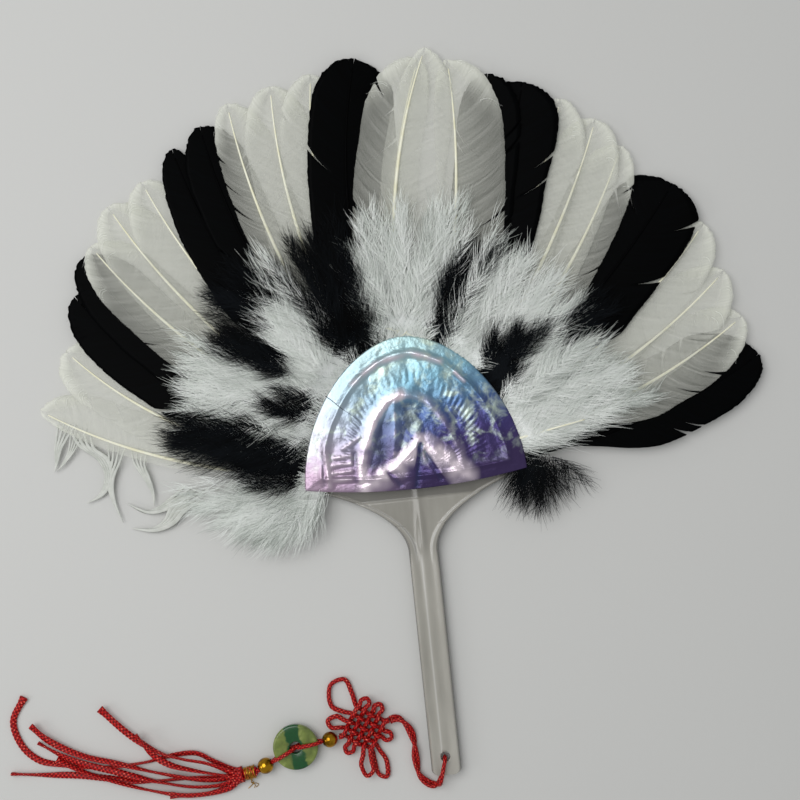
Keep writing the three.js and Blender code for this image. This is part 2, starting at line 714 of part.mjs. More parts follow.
function wrap() {
  const stations = [[0, 2], [0.4, 2.5], [1.6, 2.7], [2.8, 2.55], [4, 2.75], [5.2, 2.6], [WRAP_LENGTH, 2.3]];
  return loft(stations.map(([along, radius]) => Array.from({ length: 12 }, (_, i) => {
    const turn = (Math.PI * i) / 6;
    return wrapPoint(along, 1.1 * radius * Math.cos(turn), 2.95 + radius * Math.sin(turn));
  })));
}
place('tassel_wrap', 'gold_thread', wrap());

const LAYER = [0.95, 2.95, 4.95];
const STRANDS = [
  { layer: 0, slot: -1, path: [[-103.6, -117], [-111.2, -112.6], [-122, -112.4], [-133.7, -114.2], [-154.6, -114.5],
    [-172.2, -111.3], [-181.6, -108.3], [-188.5, -101.3], [-191.4, -89.9], [-185.5, -79.5]] },
  { layer: 0, slot: 0, path: [[-102, -124.3], [-114, -123.4], [-126.5, -123.2], [-138.9, -122.4], [-152, -119.6],
    [-164.4, -117], [-180, -115.2], [-194.6, -113.2]] },
  { layer: 0, slot: 1, path: [[-97, -128.2], [-105, -130.4], [-114, -131.2], [-124.6, -130.2]] },
  { layer: 1, slot: -1, path: [[-98, -124.4], [-107.7, -124.6], [-129, -119], [-147.6, -112.6], [-160, -108.6],
    [-170, -103.6], [-178, -98], [-183.4, -92.2]] },
  { layer: 1, slot: 0, path: [[-98, -126.9], [-112, -127.2], [-130, -122.8], [-148, -116.4], [-162, -111.4],
    [-171, -106.8], [-180.7, -100.1]] },
  { layer: 1, slot: 1, path: [[-98, -129.4], [-116, -130.6], [-134, -126.2], [-150, -120.2], [-162, -115],
    [-173.2, -108.4]] },
  { layer: 2, slot: -0.5, path: [[-98, -120.6], [-106.5, -116.6], [-117, -113.8], [-126, -110.6], [-134, -105.6],
    [-142, -98.6], [-151.8, -87.8]] },
  { layer: 2, slot: 0.5, rest: 2, path: [[-99, -123], [-113, -119], [-123, -115.4], [-130.5, -109.6], [-136.5, -100.5]] },
];

function strand({ layer, slot, path, rest = Math.min(layer, 1) }) {
  const height = (i) => lerp(LAYER[layer], LAYER[rest], smooth(i, 1, 4));
  const points = [
    wrapPoint(WRAP_LENGTH + FIT_GAP, 2 * slot, LAYER[layer]),
    wrapPoint(WRAP_LENGTH + 3, 2.1 * slot, LAYER[layer]),
    ...path.map(([x, y], i) => V3(x, y, height(i))),
  ];
  return tube(points, STRAND_RADIUS, 6, 2 * points.length);
}

STRANDS.forEach((spec, i) => {
  place(`strand_${twoDigits(i + 1)}`, 'red_cord', strand(spec));
});

export default group;
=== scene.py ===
"""Feather fan: plumage, film-covered head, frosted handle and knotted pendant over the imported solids."""

import logging
import math
import random
from dataclasses import dataclass
from enum import Enum
from typing import Any, Callable, Iterator, Sequence

import bmesh
import bpy
from bmesh.types import BMEdge, BMesh, BMVert
from bpy.types import ID, Material, Mesh, Node, NodeSocket, NodeTree, Object
from mathutils import Matrix, Vector, noise


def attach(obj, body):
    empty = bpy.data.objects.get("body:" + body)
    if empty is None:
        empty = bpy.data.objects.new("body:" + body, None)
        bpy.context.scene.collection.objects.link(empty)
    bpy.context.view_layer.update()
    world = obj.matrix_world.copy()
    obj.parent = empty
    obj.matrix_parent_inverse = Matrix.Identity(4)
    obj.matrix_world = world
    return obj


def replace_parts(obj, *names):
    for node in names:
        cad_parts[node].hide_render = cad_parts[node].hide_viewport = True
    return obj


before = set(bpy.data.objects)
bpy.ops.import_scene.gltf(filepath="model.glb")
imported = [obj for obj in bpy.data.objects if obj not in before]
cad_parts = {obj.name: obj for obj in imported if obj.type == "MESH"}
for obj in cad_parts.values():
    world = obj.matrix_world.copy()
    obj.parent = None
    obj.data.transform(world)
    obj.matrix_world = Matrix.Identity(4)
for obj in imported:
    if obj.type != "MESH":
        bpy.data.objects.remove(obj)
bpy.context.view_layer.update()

LOG = logging.getLogger("feather_fan")
MM = 0.001
UP = Vector((0, 0, 1))

Point = tuple[float, float]
Spot = tuple[float, float, float]
Place = Callable[[float, float], Vector]
Section = Callable[[int, float], Point]
Stops = Sequence[tuple[float, str]]
Links = dict[Any, Node | NodeSocket]
Hair = tuple[list[Vector], float]


# Colour and nodes


def linear(hex_colour: str) -> tuple[float, float, float, float]:
    """Turns an sRGB hex value to linear colour.

    Args:
        hex_colour: six hex digits after a hash sign.

    Returns:
        Linear red, green, blue and an alpha of 1.
    """
    parts = [int(hex_colour[i:i + 2], 16) / 255 for i in (1, 3, 5)]
    red, green, blue = (p / 12.92 if p <= 0.04045 else ((p + 0.055) / 1.055) ** 2.4 for p in parts)
    return red, green, blue, 1.0


def wire(node: Node, links: Links) -> None:
    """Feeds a node's inputs.

    Args:
        node: the node that is fed.
        links: input name or number to an output, or to a node whose first output is taken.
    """
    for key, source in links.items():
        output = source.outputs[0] if isinstance(source, Node) else source
        node.id_data.links.new(output, node.inputs[key])


def add_node(
    tree: NodeTree,
    kind: str,
    links: Links | None = None,
    values: dict[Any, Any] | None = None,
    stops: Stops = (),
    **settings: Any,
) -> Node:
    """Adds a node with its settings and links.

    Args:
        tree: the material's node tree.
        kind: the node's type name, without the words that all of them start with.
        links: input name or number to the output or node that feeds it.
        values: input name or number to a constant.
        stops: places and hex colours of a colour ramp.
        settings: the node's own properties.

    Returns:
        The new node.
    """
    node = tree.nodes.new(f"ShaderNode{kind}")
    for key, value in settings.items():
        setattr(node, key, value)
    for key, value in (values or {}).items():
        node.inputs[key].default_value = value
    wire(node, links or {})
    if stops:
        elements = node.color_ramp.elements
        while len(elements) < len(stops):
            elements.new(0.5)
        for element, (spot, colour) in zip(elements, stops):
            element.position = spot
            element.color = linear(colour)
    return node


def fresh_material(
    name: str, sockets: dict[str, Any]
) -> tuple[Material, NodeTree, Node]:
    """Makes a material with one principled shader.

    Args:
        name: the material's name.
        sockets: the shader's constants, by the names of its sockets.

    Returns:
        The material, its node tree and its shader.
    """
    material = bpy.data.materials.new(name)
    material.use_nodes = True
    shader = material.node_tree.nodes["Principled BSDF"]
    for key, value in sockets.items():
        shader.inputs[key].default_value = value
    return material, material.node_tree, shader


# Mesh tools


def linked(name: str, data: ID) -> Object:
    """Puts new data in the scene as an object.

    Args:
        name: the object's name.
        data: its mesh, curve, lamp or camera.

    Returns:
        The object.
    """
    thing = bpy.data.objects.new(name, data)
    bpy.context.scene.collection.objects.link(thing)
    return thing


def mesh_of(bm: BMesh, name: str) -> Mesh:
    """Turns a bmesh into a mesh.

    Args:
        bm: the shape, which is freed.
        name: the mesh's name.

    Returns:
        The mesh.
    """
    mesh = bpy.data.meshes.new(name)
    bm.to_mesh(mesh)
    bm.free()
    return mesh


def final_mesh(thing: Object) -> Mesh:
    """Gives an object's mesh with its modifiers, or its curve's thickness, applied."""
    graph = bpy.context.evaluated_depsgraph_get()
    return bpy.data.meshes.new_from_object(thing.evaluated_get(graph))


def shown(
    shape: BMesh | Mesh,
    name: str,
    body: str,
    material: Material,
) -> Object:
    """Shows a shape as a piece that rides on a body.

    Args:
        shape: a bmesh, which is freed and shaded smooth, or a finished mesh.
        name: the piece's name.
        body: the CAD body that it moves with.
        material: its material.

    Returns:
        The piece.
    """
    if isinstance(shape, BMesh):
        shape = mesh_of(shape, name)
        shape.shade_smooth()
    shape.materials.clear()
    shape.materials.append(material)
    piece = linked(name, shape)
    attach(piece, body)
    LOG.info("%s: %d faces", name, len(shape.polygons))
    return piece


def new_verts(grown: dict[str, Any]) -> list[BMVert]:
    """Gives the vertices that an extrude made."""
    return [part for part in grown["geom"] if isinstance(part, BMVert)]


def open_edges(bm: BMesh) -> list[BMEdge]:
    """Gives the edges that have one face."""
    return [edge for edge in bm.edges if edge.is_boundary]


def fill_in(bm: BMesh) -> None:
    """Fills the open ends of a shape and turns its faces out.

    Args:
        bm: the shape.
    """
    rims = open_edges(bm)
    if rims:
        bmesh.ops.holes_fill(bm, edges=rims, sides=0)
    bmesh.ops.recalc_face_normals(bm, faces=bm.faces[:])


def mapped_grid(
    across: int,
    along: int,
    place: Place,
    uv: Callable[[float, float], Point] | None = None,
    keep: Callable[[float, float], bool] | None = None,
) -> BMesh:
    """Makes a grid and moves its points to where a function says.

    Args:
        across: faces along the grid's first side.
        along: faces along its second side.
        place: gives a point for grid coordinates from -1 to 1.
        uv: gives the UV of a grid point, the grid's own square where it is left out.
        keep: says which faces stay, by the grid coordinates of their middle.

    Returns:
        The mapped shape.
    """
    bm = bmesh.new()
    layer = bm.loops.layers.uv.new("UVMap")
    bmesh.ops.create_grid(bm, x_segments=across, y_segments=along, size=1.0)
    for face in bm.faces:
        for loop in face.loops:
            x, y = loop.vert.co.xy
            loop[layer].uv = uv(x, y) if uv else (0.5 + x / 2, 0.5 + y / 2)
    if keep:
        gone = [face for face in bm.faces if not keep(*face.calc_center_median().xy)]
        bmesh.ops.delete(bm, geom=gone, context="FACES")
    for vert in bm.verts:
        vert.co = place(vert.co.x, vert.co.y)
    return bm


def turned(bm: BMesh, steps: int, middle: Vector, turn: Matrix) -> None:
    """Spins a closed profile once round the z axis and puts the shape in its place.

    Args:
        bm: the profile's vertices and edges, in millimetres.
        steps: faces round the shape.
        middle: where its middle goes, in millimetres.
        turn: how its axis is turned.
    """
    bmesh.ops.spin(bm, geom=bm.verts[:] + bm.edges[:], cent=(0, 0, 0), axis=(0, 0, 1), dvec=(0, 0, 0),
                   angle=2 * math.pi, steps=steps, use_merge=True, use_duplicate=False)
    bmesh.ops.remove_doubles(bm, verts=bm.verts[:], dist=1e-5)
    bmesh.ops.recalc_face_normals(bm, faces=bm.faces[:])
    matrix = Matrix.Scale(MM, 4) @ Matrix.Translation(middle) @ turn
    bmesh.ops.transform(bm, matrix=matrix, verts=bm.verts[:])


def curve_points(points: Sequence[Vector], step: float) -> list[Vector]:
    """Runs a centripetal spline through points.

    Args:
        points: the points that it passes through.
        step: the wanted spacing, in the points' unit.

    Returns:
        Points spaced evenly along it.
    """
    fine = 24
    ends = [2 * points[0] - points[1], *points, 2 * points[-1] - points[-2]]
    dense: list[Vector] = []
    for a, b, c, d in zip(ends, ends[1:], ends[2:], ends[3:]):
        t1 = (b - a).length ** 0.5
        t2 = t1 + (c - b).length ** 0.5
        t3 = t2 + (d - c).length ** 0.5
        for i in range(fine):
            t = t1 + (t2 - t1) * i / fine
            ab = a.lerp(b, t / t1)
            bc = b.lerp(c, (t - t1) / (t2 - t1))
            cd = c.lerp(d, (t - t2) / (t3 - t2))
            abc = ab.lerp(bc, t / t2)
            bcd = bc.lerp(cd, (t - t1) / (t3 - t1))
            dense.append(abc.lerp(bcd, (t - t1) / (t2 - t1)))
    dense.append(points[-1].copy())
    return evenly(dense, step)


def evenly(dense: Sequence[Vector], step: float) -> list[Vector]:
    """Spaces points evenly along a line.

    Args:
        dense: the line's points.
        step: the wanted spacing.

    Returns:
        Evenly spaced points, with both ends kept.
    """
    reach = [0.0]
    for a, b in zip(dense, dense[1:]):
        reach.append(reach[-1] + (b - a).length)
    count = max(2, round(reach[-1] / step))
    spots: list[Vector] = []
    k = 0
    for i in range(count + 1):
        want = reach[-1] * i / count
        while k + 2 < len(reach) and reach[k + 1] < want:
            k += 1
        share = (want - reach[k]) / max(1e-12, reach[k + 1] - reach[k])
        spots.append(dense[k].lerp(dense[k + 1], min(1.0, max(0.0, share))))
    return spots


def path_length(path: Sequence[Vector]) -> float:
    """Adds up the length of a line of points."""
    return sum((b - a).length for a, b in zip(path, path[1:]))


def oval(radius: Callable[[int], float], wide: float, tall: float) -> Section:
    """Gives an oval section, so wide and so tall for each millimetre of a step's radius."""
    return lambda i, a: (wide * radius(i) * MM * math.cos(a), tall * radius(i) * MM * math.sin(a))


def sweep(path: Sequence[Vector], section: Section, sides: int) -> BMesh:
    """Sweeps a section along a path without needless twist.

    Args:
        path: the centre line, in metres.
        section: gives the offset sideways and up for a path index and an angle.
        sides: faces round the tube.

    Returns:
        A closed tube whose UV runs along it in centimetres, and once round it.
    """
    last = len(path) - 1
    ways = [(path[min(i + 1, last)] - path[max(i - 1, 0)]).normalized() for i in range(last + 1)]
    up = UP if abs(ways[0].z) < 0.9 else Vector((0, 1, 0))
    frames: list[tuple[Vector, Vector]] = []
    for way in ways:
        side = way.cross(up).normalized()
        up = side.cross(way).normalized()
        frames.append((side, up.copy()))
    far = 100 * path_length(path)

    def place(u: float, v: float) -> Vector:
        """Puts a grid point on the tube.

        Args:
            u: from -1 to 1 along it.
            v: from -1 to 1 round it.

        Returns:
            The point.
        """
        i = round((u + 1) / 2 * last)
        a, b = section(i, math.pi * (v + 1))
        return path[i] + frames[i][0] * a + frames[i][1] * b

    bm = mapped_grid(last, sides, place, lambda u, v: ((u + 1) / 2 * far, (v + 1) / 2))
    bmesh.ops.remove_doubles(bm, verts=bm.verts[:], dist=1e-7)
    fill_in(bm)
    return bm


def fibres(
    name: str, lines: Sequence[Sequence[Vector]], half_width: float, rise: float, tones: Sequence[float] = ()
) -> Mesh:
    """Sweeps a flat three-sided tapered fibre along every line.

    Args:
        name: the mesh's name.
        lines: the points of each fibre in millimetres, as many in each.
        half_width: half a fibre's width at its root, in millimetres.
        rise: its thickness there.
        tones: how pale each fibre is painted at its root, from 0 to 1.

    Returns:
        All the fibres as one mesh.
    """
    corners = ((-1, 0), (1, 0), (0, 1))
    tip_loss = 0.8
    tip_fade = 0.36
    outline = bpy.data.curves.new("fibre_section", "CURVE")
    ring = outline.splines.new("POLY")
    ring.points.add(len(corners) - 1)
    for point, (x, y) in zip(ring.points, corners):
        point.co = (half_width * MM * x, rise * MM * y, 0, 1)
    ring.use_cyclic_u = True
    section = linked("fibre_section", outline)
    curve = bpy.data.curves.new(name, "CURVE")
    curve.dimensions = "3D"
    curve.twist_mode = "Z_UP"
    curve.bevel_mode = "OBJECT"
    curve.bevel_object = section
    curve.use_fill_caps = True
    last = len(lines[0]) - 1
    taper = [1.0 - tip_loss * (i / last) ** 1.4 for i in range(last + 1)]
    for points in lines:
        spline = curve.splines.new("POLY")
        spline.points.add(last)
        spline.points.foreach_set("co", [c for p in points for c in (p.x * MM, p.y * MM, p.z * MM, 1.0)])
        spline.points.foreach_set("radius", taper)
    holder = linked(name, curve)
    mesh = final_mesh(holder)
    bpy.data.objects.remove(holder)
    bpy.data.objects.remove(section)
    if tones:
        # Painted shade: each fibre's tone falls toward its tip.
        fade = [tip_fade * (i / last) ** 1.3 for i in range(last + 1)]
        caps = [tone - drop for tone in reversed(tones) for drop in (fade[-1], 0.0) for _ in corners]
        walls = [tone - drop for tone in tones for drop in fade for _ in corners]
        layer = mesh.attributes.new("tone", "FLOAT", "POINT")
        layer.data.foreach_set("value", caps + walls)
    bm = bmesh.new()
    bm.from_mesh(mesh)
    bmesh.ops.remove_doubles(bm, verts=bm.verts[:], dist=1e-8)
    bm.to_mesh(mesh)
    bm.free()
    mesh.shade_flat()
    return mesh


def smooth_step(value: float, low: float, high: float) -> float:
    """Rises smoothly from 0 at low to 1 at high."""
    share = min(1.0, max(0.0, (value - low) / (high - low)))
    return share * share * (3 - 2 * share)


def mix(a: float, b: float, share: float) -> float:
    """Goes from a to b by a share."""
    return a + (b - a) * share


# Finishes


class Shade(Enum):
    """The dye of a feather or tuft."""

    WHITE = "white"
    BLACK = "black"


@dataclass(frozen=True)
class VaneFinish:
    """Goose feather vane: hooked barbs in a thin web, so it shows fine slanting lines and lets light by."""

    name: str
    pale: str
    deep: str
    opacity: float
    thin_edge: float
    roughness: float
    gloss: float
    barb_mm: float = 0.9
    streak_mm: float = 1.3
    tip_web: float = 0.5

    def build(self) -> Material:
        """Makes the material. Its barbs are drawn about three times as coarse as real ones, to show.

        Returns:
            The material.
        """
        sockets = {"Roughness": self.roughness, "Specular IOR Level": self.gloss}
        material, tree, shader = fresh_material(self.name, sockets)
        uv = add_node(tree, "TexCoord").outputs["UV"]
        lay = add_node(tree, "Mapping", {"Vector": uv}, {"Scale": (100 / self.streak_mm, 0.9, 1)})
        streak = add_node(tree, "TexNoise", {"Vector": lay}, {"Scale": 1.0, "Detail": 3.0})
        tint = add_node(tree, "ValToRGB", {"Fac": streak}, stops=((0.25, self.deep), (0.7, self.pale)))
        ribs = {"Scale": 10 * math.pi / self.barb_mm, "Distortion": 0.6, "Detail": 1.0}
        barbs = add_node(tree, "TexWave", {"Vector": uv}, ribs).outputs["Fac"]
        bump = add_node(tree, "Bump", {"Height": barbs}, {"Strength": 0.1, "Distance": 0.06 * MM})
        wire(shader, {"Base Color": tint, "Normal": bump})
        if self.opacity < 1:
            across = add_node(tree, "SeparateXYZ", {"Vector": uv}).outputs["Y"]
            far = add_node(tree, "Math", {0: across}, operation="ABSOLUTE")
            web = add_node(tree, "MapRange", {"Value": far},
                           {"From Max": 0.8, "To Min": self.opacity, "To Max": self.thin_edge})
            rim = add_node(tree, "MapRange", {"Value": far}, {"From Min": 0.45, "To Max": self.tip_web})
            tip = add_node(tree, "Attribute", attribute_name="tip").outputs["Fac"]
            both = add_node(tree, "Math", {0: rim, 1: tip, 2: web}, operation="MULTIPLY_ADD")
            loose = add_node(tree, "Math", {0: streak}, {1: 0.22, 2: -0.11}, operation="MULTIPLY_ADD")
            alpha = add_node(tree, "Math", {0: both, 1: loose}, operation="ADD", use_clamp=True)
            wire(shader, {"Alpha": alpha})
        return material


@dataclass(frozen=True)
class FibreFinish:
    """A feather's shaft or a loose barb: dull keratin, a little mottled along its length."""

    name: str
    pale: str
    deep: str
    roughness: float
    gloss: float
    mottle_mm: float

    def build(self) -> Material:
        """Makes the material with a mottle in object space.

        Returns:
            The material.
        """
        sockets = {"Roughness": self.roughness, "Specular IOR Level": self.gloss}
        material, tree, shader = fresh_material(self.name, sockets)
        spot = add_node(tree, "TexCoord").outputs["Object"]
        mottle = add_node(tree, "TexNoise", {"Vector": spot},
                          {"Scale": 1 / (self.mottle_mm * MM), "Detail": 3.0})
        tint = add_node(tree, "ValToRGB", {"Fac": mottle}, stops=((0.35, self.deep), (0.6, self.pale)))
        wire(shader, {"Base Color": tint})
        return material


@dataclass(frozen=True)
class DownFinish:
    """Marabou down: silky keratin threads, greyed by painted shade toward roots and tips, in lower plumes and
    at the edges of each tuft, and brightened along some locks by painted sheen.
    """

    name: str
    deep: str
    middle: str
    pale: str
    roughness: float
    gloss: float

    def build(self) -> Material:
        """Makes the material from the tone that each thread carries, which holds its painted shade and sheen.

        Returns:
            The material.
        """
        sockets = {"Roughness": self.roughness, "Specular IOR Level": self.gloss}
        material, tree, shader = fresh_material(self.name, sockets)
        tone = add_node(tree, "Attribute", attribute_name="tone").outputs["Fac"]
        stops = ((0.0, self.deep), (0.5, self.middle), (1.0, self.pale))
        wire(shader, {"Base Color": add_node(tree, "ValToRGB", {"Fac": tone}, stops=stops)})
        return material


@dataclass(frozen=True)
class FilmFinish:
    """Iridescent metallised film, hot pressed on card: mirror-like on its folds, with patches of mint."""

    name: str = "iridescent_film"
    patch_mm: float = 11.0
    fleck_mm: float = 7.7
    crinkle_mm: float = 1.6
    mint_mm: Point = (4.0, 16.0)
    # The rising stops are partly the film's own hue and partly painted shade, darkest at the lower right; the
    # left stops are a painted reflection of the lamp.
    rising: Stops = (
        (0.0, "#43355f"), (0.25, "#473f78"), (0.45, "#4f6898"), (0.7, "#80b0c4"), (0.95, "#aecfd2"),
    )
    left: Stops = ((0.0, "#b39bb0"), (0.3, "#b6bac7"), (0.7, "#b1c6ce"))
    mint: str = "#cfe0cd"
    # Painted shade in the middle of the arch and along the creases.
    hollow_shade: str = "#303b62"
    # Painted highlight along the pressed folds.
    ridge: str = "#f3e4ee"

    def build(self) -> Material:
        """Makes the material: a painted reflection of the lamp pales the left, the hue runs from teal at the
        top to violet at the lower right, where painted shade darkens it, and painted highlight and shade
        follow the pressing.

        Returns:
            The material.
        """
        material, tree, shader = fresh_material(self.name, {"Metallic": 0.65, "Roughness": 0.27})
        spot = add_node(tree, "TexCoord").outputs["Object"]
        x, y, _ = add_node(tree, "SeparateXYZ", {"Vector": spot}).outputs
        patch, fleck, crinkle = (
            add_node(tree, "TexNoise", {"Vector": spot}, {"Scale": 1 / (size * MM), **values})
            for size, values in (
                (self.patch_mm, {"Detail": 5.0, "Roughness": 0.62}),
                (self.fleck_mm, {"Detail": 4.0, "Roughness": 0.6, "Distortion": 0.4}),
                (self.crinkle_mm, {"Detail": 4.0, "Roughness": 0.6}),
            )
        )
        # The hue rises up and to the left; its darkening toward the lower right is partly painted shade.
        rise = add_node(tree, "Math", {0: y}, {1: 15.0, 2: -0.1}, operation="MULTIPLY_ADD")
        lean = add_node(tree, "Math", {0: x, 2: rise}, {1: -3.5}, operation="MULTIPLY_ADD")
        stir = add_node(tree, "Math", {0: patch, 2: lean}, {1: 0.3}, operation="MULTIPLY_ADD")
        hue = add_node(tree, "ValToRGB", {"Fac": stir}, stops=self.rising)
        # Painted reflection of the lamp: the left side fades to the pale left stops.
        west_reflection = add_node(tree, "Math", {0: x}, {1: -24.0, 2: -0.15}, operation="MULTIPLY_ADD")
        fade = add_node(tree, "Math", {0: patch, 2: west_reflection}, {1: 0.35},
                        operation="MULTIPLY_ADD", use_clamp=True)
        pale = add_node(tree, "ValToRGB", {"Fac": rise}, stops=self.left)
        colour = add_node(tree, "Mix", {0: fade, 6: hue, 7: pale}, data_type="RGBA").outputs[2]
        minty = add_node(tree, "MapRange", {"Value": fleck},
                         {"From Min": 0.5, "From Max": 0.68, "To Max": 0.75})
        upper = add_node(tree, "MapRange", {"Value": y},
                         {"From Min": self.mint_mm[0] * MM, "From Max": self.mint_mm[1] * MM})
        spread = add_node(tree, "Math", {0: minty, 1: upper}, operation="MULTIPLY")
        # The stretch attribute carries painted light: below a half it lays painted shade, above a half a
        # painted highlight.
        drawn = add_node(tree, "Attribute", attribute_name="stretch").outputs["Fac"]
        sunk = add_node(tree, "MapRange", {"Value": drawn},
                        {"From Min": 0.5, "From Max": 0.05, "To Max": 0.75})
        raised = add_node(tree, "MapRange", {"Value": drawn}, {"From Min": 0.53, "From Max": 0.95})
        for share, over in ((spread, self.mint), (sunk, self.hollow_shade), (raised, self.ridge)):
            layer = add_node(tree, "Mix", {0: share, 6: colour}, {7: linear(over)}, data_type="RGBA")
            colour = layer.outputs[2]
        bump = add_node(tree, "Bump", {"Height": crinkle}, {"Strength": 0.6, "Distance": 0.3 * MM})
        wire(shader, {"Base Color": colour, "Normal": bump})
        return material


@dataclass(frozen=True)
class PlasticFinish:
    """Frosted polystyrene, injection moulded: cloudy grey with a soft gloss on its ridges."""

    name: str = "frosted_polystyrene"
    cloud_mm: float = 9.0
    cloud: Stops = ((0.3, "#aeaba1"), (0.7, "#c8c5bb"))
    # thin is the grey of painted shade; lit is the colour of painted highlight lines.
    thin: str = "#6f6d67"
    lit: str = "#f4f3ee"

    def build(self) -> Material:
        """Makes the material with a faint cloud drawn out along the handle, greyed by painted shade where the
        wall attribute is high, and pale along painted highlight lines.

        Returns:
            The material.
        """
        sockets = {"Roughness": 0.16, "IOR": 1.58, "Transmission Weight": 0.25}
        material, tree, shader = fresh_material(self.name, sockets)
        spot = add_node(tree, "TexCoord").outputs["Object"]
        drawn = add_node(tree, "Mapping", {"Vector": spot}, {"Scale": (1.0, 0.2, 1.0)})
        cloud = add_node(tree, "TexNoise", {"Vector": drawn},
                         {"Scale": 1 / (self.cloud_mm * MM), "Detail": 4.0})
        tint = add_node(tree, "ValToRGB", {"Fac": cloud}, stops=self.cloud)
        # wall holds painted light: up to 1 lays painted shade, -1 a painted highlight line.
        wall = add_node(tree, "Attribute", attribute_name="wall").outputs["Fac"]
        body = add_node(tree, "Mix", {0: wall, 6: tint}, {7: linear(self.thin)}, data_type="RGBA").outputs[2]
        # Painted highlight line where wall falls to -1.
        edge = add_node(tree, "MapRange", {"Value": wall}, {"From Max": -1.0})
        both = add_node(tree, "Mix", {0: edge, 6: body}, {7: linear(self.lit)}, data_type="RGBA")
        wire(shader, {"Base Color": both.outputs[2]})
        return material


@dataclass(frozen=True)
class CordFinish:
    """Braided satin cord: painted highlights where the filaments lie along the light, painted shade between
    the plaits and pink flecks of painted sparkle.
    """

    name: str = "red_satin_braid"
    plait_mm: float = 1.9
    columns: int = 4
    # Dark stops are painted shade between the plaits, the bright pink top stop a painted highlight.
    reds: Stops = (
        (0.3, "#3e0104"), (0.46, "#8e0509"), (0.58, "#ba0b0f"), (0.68, "#d22b24"), (0.8, "#ff9c80"),
    )

    def build(self) -> Material:
        """Makes the material. U runs along the cord in centimetres and V once round it.

        Returns:
            The material.
        """
        material, tree, shader = fresh_material(self.name, {"Roughness": 0.42, "Specular IOR Level": 0.2})
        uv = add_node(tree, "TexCoord").outputs["UV"]
        axes = add_node(tree, "SeparateXYZ", {"Vector": uv})
        waves = []
        for axis, pace in (("X", 20 * math.pi / self.plait_mm), ("Y", 2 * math.pi * self.columns)):
            run = add_node(tree, "Math", {0: axes.outputs[axis]}, {1: pace}, operation="MULTIPLY")
            waves.append(add_node(tree, "Math", {0: run}, operation="COSINE"))
        plait = add_node(tree, "Math", {0: waves[0], 1: waves[1]}, operation="MULTIPLY")
        grain = add_node(tree, "Mapping", {"Vector": uv}, {"Scale": (18.0, 9.0, 1.0)})
        fleck = add_node(tree, "TexNoise", {"Vector": grain},
                         {"Scale": 1.0, "Detail": 3.0, "Roughness": 0.65})
        # The plait's lit crests and shaded dips, with flecks, are painted into the colour as well as the
        # bump.
        level = add_node(tree, "Math", {0: plait, 2: fleck}, {1: 0.19}, operation="MULTIPLY_ADD")
        tint = add_node(tree, "ValToRGB", {"Fac": level}, stops=self.reds)
        bump = add_node(tree, "Bump", {"Height": level}, {"Strength": 0.5, "Distance": 0.15 * MM})
        wire(shader, {"Base Color": tint, "Normal": bump})
        return material


@dataclass(frozen=True)
class MetalFinish:
    """Gold-coloured plate on brass, tumbled bright, or thread wrapped in the same foil."""

    name: str
    pale: str
    deep: str
    roughness: float
    grain_mm: float

    def build(self) -> Material:
        """Makes the material with faint handling marks.

        Returns:
            The material.
        """
        material, tree, shader = fresh_material(self.name, {"Metallic": 1.0})
        spot = add_node(tree, "TexCoord").outputs["Object"]
        mark = add_node(tree, "TexNoise", {"Vector": spot},
                        {"Scale": 1 / (self.grain_mm * MM), "Detail": 4.0})
        tint = add_node(tree, "ValToRGB", {"Fac": mark}, stops=((0.35, self.deep), (0.6, self.pale)))
        dull = add_node(tree, "MapRange", {"Value": mark},
                        {"To Min": self.roughness * 0.7, "To Max": self.roughness * 1.4})
        wire(shader, {"Base Color": tint, "Roughness": dull})
        return material


@dataclass(frozen=True)
class JadeFinish:
    """Polished serpentine: clouded olive with a ragged band of deep green across the hole."""

    name: str
    centre: Point
    band_mm: float = 3.4
    ragged_mm: float = 5.0
    cloud_mm: float = 4.5
    olive: Stops = ((0.3, "#5c6b31"), (0.55, "#76853f"), (0.72, "#8f9c56"))
    band: str = "#0f4d22"

    def build(self) -> Material:
        """Makes the material about the disc's centre.

        Returns:
            The material.
        """
        material, tree, shader = fresh_material(self.name, {
            "Roughness": 0.16,
            "IOR": 1.56,
            "Subsurface Weight": 0.25,
            "Subsurface Radius": (0.6 * MM, 1.0 * MM, 0.4 * MM),
            "Subsurface Scale": 1.0,
        })
        spot = add_node(tree, "TexCoord").outputs["Object"]
        local = add_node(tree, "Mapping", {"Vector": spot},
                         {"Location": (-self.centre[0] * MM, -self.centre[1] * MM, 0.0)})
        cloud = add_node(tree, "TexNoise", {"Vector": local},
                         {"Scale": 1 / (self.cloud_mm * MM), "Detail": 4.0, "Distortion": 0.6})
        tint = add_node(tree, "ValToRGB", {"Fac": cloud}, stops=self.olive)
        x, y, _ = add_node(tree, "SeparateXYZ", {"Vector": local}).outputs
        slant = add_node(tree, "Math", {0: y, 2: x}, {1: 0.14}, operation="MULTIPLY_ADD")
        ragged = add_node(tree, "Math", {0: cloud, 2: slant}, {1: self.ragged_mm * MM},
                          operation="MULTIPLY_ADD")
        middle = add_node(tree, "Math", {0: ragged}, {1: self.ragged_mm / 2 * MM}, operation="SUBTRACT")
        away = add_node(tree, "Math", {0: middle}, operation="ABSOLUTE")
        inside = add_node(tree, "MapRange", {"Value": away},
                          {"From Min": (self.band_mm - 0.5) * MM, "From Max": (self.band_mm + 0.4) * MM,
                           "To Min": 1.0, "To Max": 0.0})
        vein = add_node(tree, "Mix", {0: inside, 6: tint}, {7: linear(self.band)}, data_type="RGBA")
        wire(shader, {"Base Color": vein.outputs[2]})
        return material


